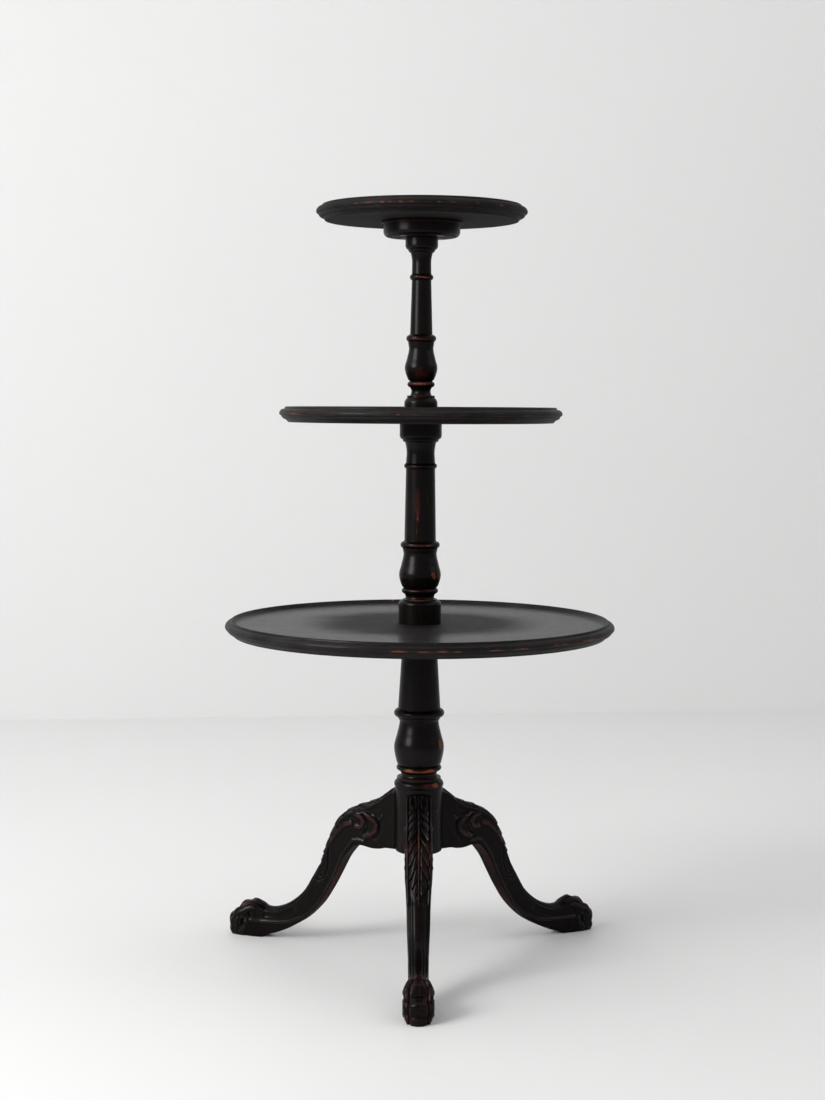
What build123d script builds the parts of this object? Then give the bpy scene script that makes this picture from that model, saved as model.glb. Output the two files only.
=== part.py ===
from build123d import *
import math
import os

# Three-tier dumbwaiter: three dished round trays on a turned stem and a carved tripod base
# The stem stands on the Z axis, the feet stand on Z = 0 and the front leg points along -Y

# Tray heights, to the top of each lip
lower_tray_top = 518.5
middle_tray_top = 836.5
top_tray_top = 1134.0

# Trays
lower_tray_radius = 292.0
middle_tray_radius = 211.0
top_tray_radius = 156.5
tray_thickness = 23.0
dish_depth = 6.0
rim_width = 17.0
plinth_recess_depth = 1.0
plinth_recess_margin = 0.7

# Running fits and seats
running_clearance = 0.08
seat_gap = 0.3
glue_clearance = 0.1

# Lower column, from the drum up
drum_radius = 36.0
drum_underside = 164.5
drum_height = 99.5
drum_corner_radius = 5.0
lower_shoulder_radius = 37.4
lower_fillet_radius = 33.2
lower_scotia_radius = 27.3
lower_foot_ring_radius = 34.1
lower_vase_foot_radius = 30.8
lower_vase_radius = 37.7
lower_vase_neck_radius = 29.5
lower_shaft_ring_radius = 38.0
lower_shaft_foot_radius = 31.9
lower_shaft_head_radius = 27.6
lower_neck_radius = 27.0
lower_capital_radius = 38.0

# Middle column
middle_plinth_radius = 31.9
middle_shoulder_radius = 31.0
middle_fillet_radius = 26.2
middle_scotia_radius = 21.5
middle_foot_ring_radius = 27.4
middle_vase_foot_radius = 24.1
middle_vase_radius = 31.4
middle_vase_neck_radius = 24.8
middle_shaft_ring_radius = 29.5
middle_shaft_foot_radius = 23.7
middle_shaft_head_radius = 21.8
middle_astragal_radius = 24.7
middle_neck_radius = 20.9
middle_capital_radius = 31.5

# Upper column
upper_plinth_radius = 24.8
upper_shoulder_radius = 24.1
upper_fillet_radius = 20.7
upper_scotia_radius = 14.5
upper_foot_ring_radius = 20.4
upper_vase_foot_radius = 16.2
upper_vase_radius = 24.3
upper_vase_neck_radius = 18.2
upper_shaft_ring_radius = 22.3
upper_shaft_foot_radius = 16.7
upper_shaft_head_radius = 14.4
upper_astragal_radius = 17.5
upper_neck_radius = 14.2
upper_capital_radius = 24.2

# Journals that the trays turn on, and the spigots that join the columns
middle_journal_radius = 20.0
middle_spigot_radius = 15.0
middle_spigot_length = 45.0
upper_journal_radius = 16.0
upper_spigot_radius = 11.0
upper_spigot_length = 40.0
top_pin_radius = 10.0
top_pin_length = 20.0
socket_end_gap = 0.6
spigot_chamfer = 1.5

# Turned disc under the top tray
block_height = 24.0
block_lip_radius = 59.5
block_radius = 57.0
block_foot_radius = 50.0
block_lip_height = 4.5
block_foot_round = 8.0

# Legs
leg_reach = 330.0
leg_rise = 262.0
leg_width = 37.5
ankle_width = 25.0
crown_rise = 7.0
leg_azimuths = {"leg_front": -90.0, "leg_left": 155.0, "leg_right": 32.0}

# Paw feet
paw_width = 44.5
paw_height = 53.0
sole_trim = 1.5
toe_trim = 0.6
toe_radius = 7.4

# Dovetail keys that hold the legs in the drum
key_depth = 15.0
key_neck_width = 13.0
key_tail_width = 19.0
key_height = 84.0

# Iron plate under the drum
brace_thickness = 3.0
brace_hub_radius = 19.0
brace_arm_width = 16.0
brace_arm_reach = 56.0

# Wood screws
brace_screw_radius = 2.0
brace_screw_head_radius = 4.2
brace_screw_length = 19.0
brace_screw_reach = 38.0
brace_screw_spacing = 10.5
block_screw_radius = 2.2
block_screw_head_radius = 4.6
block_screw_length = 33.0
block_screw_circle_radius = 38.0
block_screw_count = 4
block_screw_azimuth = 45.0
screw_slot_width = 1.0
screw_slot_depth = 0.8
screw_clearance = 0.05
screw_head_angle = 90.0

# Turns a hole so that it is bored from below
facing_down = (180, 0, 0)

# Shares of a column's height, from its foot, for each level of its mouldings
lower_level_shares = {
    "shoulder": 0.020,
    "shoulder_top": 0.046,
    "fillet_top": 0.065,
    "scotia": 0.092,
    "ring_foot": 0.109,
    "ring_head": 0.140,
    "vase": 0.265,
    "vase_neck": 0.434,
    "shaft_ring_foot": 0.452,
    "shaft_ring_head": 0.519,
    "shaft_head": 0.826,
    "neck": 0.868,
    "cove_head": 0.896,
    "bead_head": 0.913,
    "ovolo_head": 0.935,
}
middle_level_shares = {
    "plinth": 0.094,
    "shoulder": 0.107,
    "shoulder_top": 0.115,
    "fillet_top": 0.121,
    "scotia": 0.134,
    "ring_foot": 0.150,
    "ring_head": 0.176,
    "vase": 0.243,
    "vase_neck": 0.351,
    "shaft_ring_foot": 0.372,
    "shaft_ring_head": 0.412,
    "shaft_head": 0.772,
    "astragal_head": 0.798,
    "neck": 0.846,
    "cove_head": 0.904,
    "bead_head": 0.918,
    "ovolo_head": 0.938,
}
upper_level_shares = {
    "plinth": 0.047,
    "shoulder": 0.059,
    "shoulder_top": 0.076,
    "fillet_top": 0.090,
    "scotia": 0.118,
    "ring_foot": 0.139,
    "ring_head": 0.171,
    "vase": 0.249,
    "vase_neck": 0.364,
    "shaft_ring_foot": 0.396,
    "shaft_ring_head": 0.443,
    "shaft_head": 0.755,
    "astragal_head": 0.789,
    "neck": 0.852,
    "cove_head": 0.915,
    "bead_head": 0.932,
    "ovolo_head": 0.954,
}

# Shares that place the small members between two named radii
scotia_edge_share = 0.30
ring_root_share = 0.15
ring_fillet_share = 0.30
ring_fillet_height_share = 0.11
vase_belly_share = 0.48
vase_belly_height_share = 0.22
vase_throat_share = 0.55
vase_throat_height_share = 0.50
cove_head_share = 0.25
bead_foot_share = 0.42
bead_head_share = 0.60
ovolo_foot_share = 0.75

# Shares of the rim's width from its edge and of its depth from its top, for the tray's moulding
lip_inner_shares = (0.68, 0.02)
dish_wall_shares = (0.86, 0.16)
lip_crown_shares = (0.59, 0.0)
lip_outer_shares = (0.50, 0.07)
ledge_shares = (0.44, 0.15)
ovolo_edge_shares = (0.0, 0.44)
ovolo_foot_shares = (0.09, 0.55)
cyma_head_shares = (0.18, 0.58)
cyma_hollow_shares = (0.27, 0.72)
cyma_waist_shares = (0.47, 0.80)
cyma_foot_shares = (0.66, 0.90)
rim_foot_shares = (0.76, 1.0)

# Shares of the way from the drum to the toes, and of the leg's rise, for each section's two ends
wing_shares = (
    ((0.0324, 0.639), (0.0336, 0.966)),
    ((0.0717, 0.630), (0.0852, 0.920)),
    ((0.1144, 0.628), (0.1413, 0.887)),
    ((0.1750, 0.638), (0.2154, 0.857)),
    ((0.2289, 0.622), (0.3164, 0.786)),
)
shin_shares = (
    ((0.2715, 0.571), (0.3647, 0.691)),
    ((0.3030, 0.517), (0.4085, 0.578)),
    ((0.3378, 0.439), (0.4365, 0.504)),
    ((0.3883, 0.334), (0.4870, 0.403)),
    ((0.4534, 0.225), (0.5409, 0.309)),
    ((0.5297, 0.141), (0.5948, 0.252)),
    ((0.6184, 0.078), (0.6610, 0.206)),
    ((0.7014, 0.036), (0.7250, 0.185)),
    ((0.7688, 0.019), (0.7822, 0.187)),
)
shin_width_shares = (0.98, 0.81, 0.68, 0.57, 0.40, 0.25, 0.13, 0.0, 0.0)

# Shares of the way from the drum to the toes for the paw's sections, of its height and width there
paw_reach_shares = (0.7587, 0.8159, 0.8732, 0.9226, 0.9562)
paw_height_shares = (0.86, 0.96, 0.96, 0.77, 0.50)
paw_width_shares = (0.70, 0.95, 1.0, 0.95, 0.84)
paw_sole_share = 0.36
paw_bulge_share = 0.42
paw_shoulder_shares = (0.40, 0.78)
toe_spread_shares = (-0.30, -0.105, 0.105, 0.30)
toe_setback_shares = (0.020, 0.0, 0.0, 0.020)
toe_height_shares = (0.92, 1.0, 1.0, 0.92)
toe_knuckle_reach_share = 0.8676
toe_bend_reach_share = 0.9371
toe_bend_height_share = 0.56

# Heights that follow from the trays
lower_dish = lower_tray_top - dish_depth
middle_dish = middle_tray_top - dish_depth
lower_underside = lower_tray_top - tray_thickness
middle_underside = middle_tray_top - tray_thickness
top_underside = top_tray_top - tray_thickness
block_underside = top_underside - block_height
drum_top = drum_underside + drum_height
leg_half_width = leg_width / 2
leg_seat = math.sqrt(drum_radius**2 - leg_half_width**2)
leg_underside = drum_underside + brace_thickness


def between(start, end, share):
    """The value at that share of the way from start to end."""
    return start + (end - start) * share


def ring_profile(low, high, root, crown):
    """Draws a round ring, from its low root over its crown to its high root."""
    ThreePointArc((root, low), (crown, (low + high) / 2), (root, high))


def column_profile(foot, head, shares, radii, above_plinth):
    """Draws a turned column's outline from the shoulder over its plinth up to its capital."""
    at = {name: between(foot, head, share) for name, share in shares.items()}
    step_radius = radii["fillet"]
    scotia_edge = between(radii["scotia"], step_radius, scotia_edge_share)
    ring_root = between(radii["vase_foot"], radii["foot_ring"], ring_root_share)
    ThreePointArc(above_plinth, (radii["shoulder"], at["shoulder"]), (step_radius, at["shoulder_top"]))
    Polyline(
        (step_radius, at["shoulder_top"]),
        (step_radius, at["fillet_top"]),
        (scotia_edge, at["fillet_top"]),
    )
    ThreePointArc(
        (scotia_edge, at["fillet_top"]),
        (radii["scotia"], at["scotia"]),
        (ring_root, at["ring_foot"]),
    )
    ring_profile(at["ring_foot"], at["ring_head"], ring_root, radii["foot_ring"])
    Line((ring_root, at["ring_head"]), (radii["vase_foot"], at["ring_head"]))
    vase_span = at["vase_neck"] - at["vase"]
    belly_radius = between(radii["vase_foot"], radii["vase"], vase_belly_share)
    belly_height = between(at["ring_head"], at["vase"], vase_belly_height_share)
    throat_radius = between(radii["vase"], radii["vase_neck"], vase_throat_share)
    throat_height = at["vase"] + vase_span * vase_throat_height_share
    Spline(
        (radii["vase_foot"], at["ring_head"]),
        (belly_radius, belly_height),
        (radii["vase"], at["vase"]),
        (throat_radius, throat_height),
        (radii["vase_neck"], at["vase_neck"]),
        tangents=((1, 1), (0, 1)),
    )
    ring_fillet = between(radii["vase_neck"], radii["shaft_ring"], ring_fillet_share)
    bead_foot = between(at["shaft_ring_foot"], at["shaft_ring_head"], ring_fillet_height_share)
    bead_head = between(at["shaft_ring_head"], at["shaft_ring_foot"], ring_fillet_height_share)
    Line((radii["vase_neck"], at["vase_neck"]), (ring_fillet, at["shaft_ring_foot"]))
    Line((ring_fillet, at["shaft_ring_foot"]), (ring_fillet, bead_foot))
    ring_profile(bead_foot, bead_head, ring_fillet, radii["shaft_ring"])
    Polyline(
        (ring_fillet, bead_head),
        (radii["shaft_foot"], at["shaft_ring_head"]),
        (radii["shaft_head"], at["shaft_head"]),
    )
    if "astragal" in radii:
        ring_profile(
            at["shaft_head"], at["astragal_head"], radii["shaft_head"], radii["astragal"]
        )
        Line((radii["shaft_head"], at["astragal_head"]), (radii["neck"], at["neck"]))
    else:
        Line((radii["shaft_head"], at["shaft_head"]), (radii["neck"], at["neck"]))
    cove_radius = between(radii["neck"], radii["capital"], cove_head_share)
    bead_foot_radius = between(radii["neck"], radii["capital"], bead_foot_share)
    bead_head_radius = between(radii["neck"], radii["capital"], bead_head_share)
    ovolo_radius = between(radii["neck"], radii["capital"], ovolo_foot_share)
    TangentArc(
        (radii["neck"], at["neck"]),
        (cove_radius, at["cove_head"]),
        tangent=(0, 1),
    )
    Line((cove_radius, at["cove_head"]), (bead_foot_radius, at["cove_head"]))
    TangentArc(
        (bead_head_radius, at["bead_head"]),
        (bead_foot_radius, at["cove_head"]),
        tangent=(0, -1),
    )
    Line((bead_head_radius, at["bead_head"]), (ovolo_radius, at["bead_head"]))
    TangentArc(
        (radii["capital"], at["ovolo_head"]),
        (ovolo_radius, at["bead_head"]),
        tangent=(0, -1),
    )
    Line((radii["capital"], at["ovolo_head"]), (radii["capital"], head))


def rim_point(radius, top, shares):
    """The point of a tray's outline at these shares of its rim's width and depth."""
    inward, down = shares
    return (radius - rim_width * inward, top - tray_thickness * down)


def tray_profile(radius, top, bore, recess):
    """Draws a dished tray's half outline: moulded rim, bore, and a recess that takes the plinth."""
    floor = top - dish_depth
    recess_floor = floor - plinth_recess_depth
    underside = top - tray_thickness
    dish_edge = (radius - rim_width, floor)
    lip_inner = rim_point(radius, top, lip_inner_shares)
    lip_crown = rim_point(radius, top, lip_crown_shares)
    lip_outer = rim_point(radius, top, lip_outer_shares)
    ledge = rim_point(radius, top, ledge_shares)
    ovolo_edge = rim_point(radius, top, ovolo_edge_shares)
    ovolo_foot = rim_point(radius, top, ovolo_foot_shares)
    cyma_head = rim_point(radius, top, cyma_head_shares)
    cyma_waist = rim_point(radius, top, cyma_waist_shares)
    rim_foot = rim_point(radius, top, rim_foot_shares)
    if recess > bore:
        Polyline((bore, recess_floor), (recess, recess_floor), (recess, floor), dish_edge)
    else:
        Line((bore, floor), dish_edge)
    ThreePointArc(dish_edge, rim_point(radius, top, dish_wall_shares), lip_inner)
    TangentArc(lip_crown, lip_inner, tangent=(-1, 0))
    TangentArc(lip_crown, lip_outer, tangent=(1, 0))
    Line(lip_outer, ledge)
    TangentArc(ovolo_edge, ledge, tangent=(0, 1))
    TangentArc(ovolo_edge, ovolo_foot, tangent=(0, -1))
    Line(ovolo_foot, cyma_head)
    ThreePointArc(cyma_head, rim_point(radius, top, cyma_hollow_shares), cyma_waist)
    ThreePointArc(cyma_waist, rim_point(radius, top, cyma_foot_shares), rim_foot)
    Line(rim_foot, (bore, underside))
    Line((bore, underside), (bore, recess_floor if recess > bore else floor))


def spigot_points(radius, end, root):
    """The points of a chamfered spigot from its end on the axis up to its root."""
    return [
        (0, end),
        (radius - spigot_chamfer, end),
        (radius, end + spigot_chamfer),
        (radius, root),
    ]


# Lower column: drum, vase, shaft and capital, with the socket for the middle column
middle_socket_radius = middle_spigot_radius + glue_clearance
middle_socket_depth = middle_spigot_length + socket_end_gap
lower_radii = {
    "shoulder": lower_shoulder_radius,
    "fillet": lower_fillet_radius,
    "scotia": lower_scotia_radius,
    "foot_ring": lower_foot_ring_radius,
    "vase_foot": lower_vase_foot_radius,
    "vase": lower_vase_radius,
    "vase_neck": lower_vase_neck_radius,
    "shaft_ring": lower_shaft_ring_radius,
    "shaft_foot": lower_shaft_foot_radius,
    "shaft_head": lower_shaft_head_radius,
    "neck": lower_neck_radius,
    "capital": lower_capital_radius,
}
drum_flat_radius = drum_radius - drum_corner_radius
with BuildPart() as lower_column:
    with BuildSketch(Plane.XZ):
        with BuildLine():
            Line((0, drum_underside), (drum_flat_radius, drum_underside))
            TangentArc(
                (drum_flat_radius, drum_underside),
                (drum_radius, drum_underside + drum_corner_radius),
                tangent=(1, 0),
            )
            Line((drum_radius, drum_underside + drum_corner_radius), (drum_radius, drum_top))
            column_profile(
                drum_top,
                lower_underside,
                lower_level_shares,
                lower_radii,
                (drum_radius, drum_top),
            )
            Line((lower_capital_radius, lower_underside), (0, lower_underside))
            Line((0, lower_underside), (0, drum_underside))
        make_face()
    revolve(axis=Axis.Z)
    with Locations((0, 0, lower_underside)):
        Hole(middle_socket_radius, depth=middle_socket_depth)

# Each leg's joint with the drum: a flat seat in the leg's own outline, and a dovetail socket
def leg_outline(width, height, crown):
    """Draws a leg's section: flat below, upright sides and a rounded crown."""
    half = width / 2
    Polyline((half, height - crown), (half, 0), (-half, 0), (-half, height - crown))
    ThreePointArc((-half, height - crown), (0, height), (half, height - crown))


def paw_outline(width, height):
    """Draws a paw's section: a flat sole, sides that swell out above it and a rounded crown."""
    sole = width * paw_sole_share
    bulge = (width / 2, height * paw_bulge_share)
    shoulder = (width * paw_shoulder_shares[0], height * paw_shoulder_shares[1])
    Line((-sole, 0), (sole, 0))
    ThreePointArc((sole, 0), bulge, shoulder)
    ThreePointArc(shoulder, (0, height), (-shoulder[0], shoulder[1]))
    ThreePointArc((-shoulder[0], shoulder[1]), (-bulge[0], bulge[1]), (-sole, 0))


def key_outline(clearance):
    """Draws the dovetail key's plan, with that clearance all round."""
    neck = key_neck_width / 2 + clearance
    tail = key_tail_width / 2 + clearance
    inner = leg_seat - key_depth - clearance
    Polyline((leg_seat, neck), (inner, tail), (inner, -tail), (leg_seat, -neck), (leg_seat, neck))


def brace_outline(clearance):
    """Draws the plate's plan: a hub with three round-ended arms, with that clearance all round."""
    Circle(brace_hub_radius + clearance)
    for azimuth in leg_azimuths.values():
        with PolarLocations(brace_arm_reach / 2, 1, start_angle=azimuth):
            SlotOverall(brace_arm_reach + 2 * clearance, brace_arm_width + 2 * clearance)


leg_seat_height = leg_rise - leg_underside
seat_plane = Plane(origin=(leg_seat, 0, leg_underside), x_dir=(0, 1, 0), z_dir=(1, 0, 0))
with BuildPart() as leg_joint_cut:
    with BuildSketch(seat_plane):
        with BuildLine():
            leg_outline(leg_width, leg_seat_height, crown_rise)
        make_face()
    extrude(amount=drum_radius)
    with BuildSketch(Plane.XY.offset(drum_underside)):
        with Locations((leg_seat, 0)):
            Rectangle(drum_radius, leg_width, align=(Align.MIN, Align.CENTER))
    extrude(amount=brace_thickness)
    with BuildSketch(Plane.XY.offset(drum_underside)):
        with BuildLine():
            key_outline(glue_clearance)
        make_face()
    extrude(amount=brace_thickness + key_height + glue_clearance)

with BuildPart() as brace_cut:
    with BuildSketch(Plane.XY.offset(drum_underside + brace_thickness)):
        brace_outline(glue_clearance)
    extrude(amount=-drum_underside)

with BuildPart() as lower_column_finished:
    add(lower_column.part)
    for azimuth in leg_azimuths.values():
        add(leg_joint_cut.part, rotation=(0, 0, azimuth), mode=Mode.SUBTRACT)
    add(brace_cut.part, mode=Mode.SUBTRACT)
    with Locations((0, 0, drum_underside)):
        Cylinder(
            brace_screw_radius + screw_clearance,
            brace_screw_length + socket_end_gap,
            align=(Align.CENTER, Align.CENTER, Align.MIN),
            mode=Mode.SUBTRACT,
        )

# Middle column: spigot, journal, plinth and shaft
upper_socket_radius = upper_spigot_radius + glue_clearance
upper_socket_depth = upper_spigot_length + socket_end_gap
middle_radii = {
    "shoulder": middle_shoulder_radius,
    "fillet": middle_fillet_radius,
    "scotia": middle_scotia_radius,
    "foot_ring": middle_foot_ring_radius,
    "vase_foot": middle_vase_foot_radius,
    "vase": middle_vase_radius,
    "vase_neck": middle_vase_neck_radius,
    "shaft_ring": middle_shaft_ring_radius,
    "shaft_foot": middle_shaft_foot_radius,
    "shaft_head": middle_shaft_head_radius,
    "astragal": middle_astragal_radius,
    "neck": middle_neck_radius,
    "capital": middle_capital_radius,
}
middle_plinth_foot = lower_dish - plinth_recess_depth + seat_gap
middle_plinth_top = between(lower_dish, middle_underside, middle_level_shares["plinth"])
with BuildPart() as middle_column:
    with BuildSketch(Plane.XZ):
        with BuildLine():
            Polyline(
                *spigot_points(
                    middle_spigot_radius, lower_underside - middle_spigot_length, lower_underside
                ),
                (middle_journal_radius, lower_underside),
                (middle_journal_radius, middle_plinth_foot),
                (middle_plinth_radius, middle_plinth_foot),
                (middle_plinth_radius, middle_plinth_top),
            )
            column_profile(
                lower_dish,
                middle_underside,
                middle_level_shares,
                middle_radii,
                (middle_plinth_radius, middle_plinth_top),
            )
            Polyline(
                (middle_capital_radius, middle_underside),
                (0, middle_underside),
                (0, lower_underside - middle_spigot_length),
            )
        make_face()
    revolve(axis=Axis.Z)
    with Locations((0, 0, middle_underside)):
        Hole(upper_socket_radius, depth=upper_socket_depth)

# Upper column: spigot, journal, plinth, shaft and the pin that the top tray turns on
upper_radii = {
    "shoulder": upper_shoulder_radius,
    "fillet": upper_fillet_radius,
    "scotia": upper_scotia_radius,
    "foot_ring": upper_foot_ring_radius,
    "vase_foot": upper_vase_foot_radius,
    "vase": upper_vase_radius,
    "vase_neck": upper_vase_neck_radius,
    "shaft_ring": upper_shaft_ring_radius,
    "shaft_foot": upper_shaft_foot_radius,
    "shaft_head": upper_shaft_head_radius,
    "astragal": upper_astragal_radius,
    "neck": upper_neck_radius,
    "capital": upper_capital_radius,
}
upper_plinth_foot = middle_dish - plinth_recess_depth + seat_gap
upper_plinth_top = between(middle_dish, block_underside, upper_level_shares["plinth"])
top_pin_end = block_underside + top_pin_length
with BuildPart() as upper_column:
    with BuildSketch(Plane.XZ):
        with BuildLine():
            Polyline(
                *spigot_points(
                    upper_spigot_radius, middle_underside - upper_spigot_length, middle_underside
                ),
                (upper_journal_radius, middle_underside),
                (upper_journal_radius, upper_plinth_foot),
                (upper_plinth_radius, upper_plinth_foot),
                (upper_plinth_radius, upper_plinth_top),
            )
            column_profile(
                middle_dish,
                block_underside,
                upper_level_shares,
                upper_radii,
                (upper_plinth_radius, upper_plinth_top),
            )
            Polyline(
                (upper_capital_radius, block_underside),
                (top_pin_radius, block_underside),
                (top_pin_radius, top_pin_end - spigot_chamfer),
                (top_pin_radius - spigot_chamfer, top_pin_end),
                (0, top_pin_end),
                (0, middle_underside - upper_spigot_length),
            )
        make_face()
    revolve(axis=Axis.Z)

# Trays
with BuildPart() as lower_tray:
    with BuildSketch(Plane.XZ):
        with BuildLine():
            tray_profile(
                lower_tray_radius,
                lower_tray_top,
                middle_journal_radius + running_clearance,
                middle_plinth_radius + plinth_recess_margin,
            )
        make_face()
    revolve(axis=Axis.Z)

with BuildPart() as middle_tray:
    with BuildSketch(Plane.XZ):
        with BuildLine():
            tray_profile(
                middle_tray_radius,
                middle_tray_top,
                upper_journal_radius + running_clearance,
                upper_plinth_radius + plinth_recess_margin,
            )
        make_face()
    revolve(axis=Axis.Z)

# Screws: one of each size stands on its own axis, head down, and is placed where it goes
def screw_outline(radius, head_radius, length):
    """Draws half of a countersunk wood screw, from its flat head at Z = 0 up to its point."""
    head_height = head_radius - radius
    Polyline(
        (0, 0),
        (head_radius, 0),
        (radius, head_height),
        (radius, length - 2 * radius),
        (0, length),
        (0, 0),
    )


with BuildPart() as brace_screw:
    with BuildSketch(Plane.XZ):
        with BuildLine():
            screw_outline(brace_screw_radius, brace_screw_head_radius, brace_screw_length)
        make_face()
    revolve(axis=Axis.Z)
    Box(
        2 * brace_screw_head_radius,
        screw_slot_width,
        2 * screw_slot_depth,
        mode=Mode.SUBTRACT,
    )

with BuildPart() as block_screw:
    with BuildSketch(Plane.XZ):
        with BuildLine():
            screw_outline(block_screw_radius, block_screw_head_radius, block_screw_length)
        make_face()
    revolve(axis=Axis.Z)
    Box(
        2 * block_screw_head_radius,
        screw_slot_width,
        2 * screw_slot_depth,
        mode=Mode.SUBTRACT,
    )

with BuildPart() as block_screws:
    with Locations((0, 0, block_underside)):
        with PolarLocations(block_screw_circle_radius, block_screw_count, start_angle=block_screw_azimuth):
            add(block_screw.part)

# Turned disc under the top tray, bored for the pin
with BuildPart() as top_tray_block:
    with BuildSketch(Plane.XZ):
        with BuildLine():
            Polyline(
                (0, top_underside),
                (block_lip_radius, top_underside),
                (block_lip_radius, top_underside - block_lip_height),
                (block_radius, top_underside - block_lip_height),
                (block_radius, block_underside + block_foot_round),
            )
            TangentArc(
                (block_radius, block_underside + block_foot_round),
                (block_foot_radius, block_underside),
                tangent=(0, -1),
            )
            Line((block_foot_radius, block_underside), (0, block_underside))
            Line((0, block_underside), (0, top_underside))
        make_face()
    revolve(axis=Axis.Z)
    with Locations(Location((0, 0, block_underside), facing_down)):
        Hole(top_pin_radius + running_clearance, depth=top_pin_length + socket_end_gap)
        with PolarLocations(block_screw_circle_radius, block_screw_count, start_angle=block_screw_azimuth):
            CounterSinkHole(
                block_screw_radius + screw_clearance,
                block_screw_head_radius + screw_clearance,
                depth=block_height,
                counter_sink_angle=screw_head_angle,
            )

# Top tray, with pilot holes for the disc's screws
pilot_depth = block_screw_length - block_height + socket_end_gap
with BuildPart() as top_tray:
    with BuildSketch(Plane.XZ):
        with BuildLine():
            tray_profile(top_tray_radius, top_tray_top, 0, 0)
        make_face()
    revolve(axis=Axis.Z)
    with Locations(Location((0, 0, top_underside), facing_down)):
        with PolarLocations(block_screw_circle_radius, block_screw_count, start_angle=block_screw_azimuth):
            Hole(block_screw_radius + screw_clearance, depth=pilot_depth)

# Iron plate under the drum and its screws
brace_screw_radii = (brace_screw_reach, brace_screw_reach + brace_screw_spacing)
brace_screw_places = [(0, 0)]
for azimuth in leg_azimuths.values():
    for reach in brace_screw_radii:
        angle = math.radians(azimuth)
        brace_screw_places.append((reach * math.cos(angle), reach * math.sin(angle)))
with BuildPart() as brace_plate:
    with BuildSketch(Plane.XY.offset(drum_underside)):
        brace_outline(0)
    extrude(amount=brace_thickness)
    with Locations(Location((0, 0, drum_underside), facing_down)):
        with Locations(*[(x, -y) for x, y in brace_screw_places]):
            CounterSinkHole(
                brace_screw_radius + screw_clearance,
                brace_screw_head_radius + screw_clearance,
                depth=brace_thickness,
                counter_sink_angle=screw_head_angle,
            )

with BuildPart() as brace_screws:
    with Locations((0, 0, drum_underside)):
        with Locations(*brace_screw_places):
            add(brace_screw.part)

# One leg, pointing along +X: joint, wing, shin and paw foot
def leg_point(shares):
    """The point of the leg's side view at these shares of the way to its toes and of its rise."""
    reach_share, rise_share = shares
    return (between(drum_radius, leg_reach, reach_share), leg_rise * rise_share)


def section_plane(low, high):
    """The plane of a section that stands across the leg from its low point to its high point."""
    reach = high[0] - low[0]
    rise = high[1] - low[1]
    return Plane(origin=(low[0], 0, low[1]), x_dir=(0, 1, 0), z_dir=(rise, 0, -reach))


wing_sections = [((drum_radius, leg_underside), (drum_radius, leg_rise))]
wing_sections += [(leg_point(low), leg_point(high)) for low, high in wing_shares]
shin_sections = [wing_sections[-1]]
shin_sections += [(leg_point(low), leg_point(high)) for low, high in shin_shares]
shin_widths = [leg_width]
shin_widths += [between(ankle_width, leg_width, share) for share in shin_width_shares]
with BuildPart() as leg_blank:
    with BuildSketch(seat_plane):
        with BuildLine():
            leg_outline(leg_width, leg_seat_height, crown_rise)
        make_face()
    extrude(amount=drum_radius - leg_seat)
    for low, high in wing_sections:
        with BuildSketch(section_plane(low, high)):
            with BuildLine():
                leg_outline(leg_width, math.dist(low, high), crown_rise)
            make_face()
    loft()
    for (low, high), width in zip(shin_sections, shin_widths):
        with BuildSketch(section_plane(low, high)):
            with BuildLine():
                leg_outline(width, math.dist(low, high), crown_rise)
            make_face()
    loft()
    for reach_share, height_share, width_share in zip(
        paw_reach_shares, paw_height_shares, paw_width_shares
    ):
        reach = between(drum_radius, leg_reach, reach_share)
        low = (reach, -sole_trim)
        high = (reach, paw_height * height_share)
        with BuildSketch(section_plane(low, high)):
            with BuildLine():
                paw_outline(paw_width * width_share, math.dist(low, high))
            make_face()
    loft()
    for spread_share, setback_share, height_share in zip(
        toe_spread_shares, toe_setback_shares, toe_height_shares
    ):
        across = paw_width * spread_share
        setback = leg_reach * setback_share
        toe_height = paw_height * height_share
        toe_end = leg_reach - setback
        knuckle_reach = between(drum_radius, toe_end, toe_knuckle_reach_share)
        bend_reach = between(drum_radius, toe_end, toe_bend_reach_share)
        knuckle = (knuckle_reach, toe_height - toe_radius)
        bend = (bend_reach, toe_height * toe_bend_height_share)
        tip = (toe_end - toe_radius, toe_radius - toe_trim)
        with BuildLine(Plane.XZ.offset(-across)) as toe_line:
            ThreePointArc(knuckle, bend, tip)
        with BuildSketch(toe_line.line ^ 0):
            Circle(toe_radius)
        sweep(path=toe_line.line)
        with Locations((knuckle[0], across, knuckle[1]), (tip[0], across, tip[1])):
            Sphere(toe_radius)
    with BuildSketch(Plane.XY.offset(leg_underside)):
        with BuildLine():
            key_outline(0)
        make_face()
    extrude(amount=key_height)
    with BuildSketch(Plane.XY):
        Rectangle(2 * leg_reach, 2 * paw_width)
    extrude(amount=-toe_radius, mode=Mode.SUBTRACT)
    add(brace_cut.part, rotation=(0, 0, -leg_azimuths["leg_front"]), mode=Mode.SUBTRACT)
    with Locations(*[(reach, 0, drum_underside) for reach in brace_screw_radii]):
        Cylinder(
            brace_screw_radius + screw_clearance,
            brace_screw_length + socket_end_gap,
            align=(Align.CENTER, Align.CENTER, Align.MIN),
            mode=Mode.SUBTRACT,
        )

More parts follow.
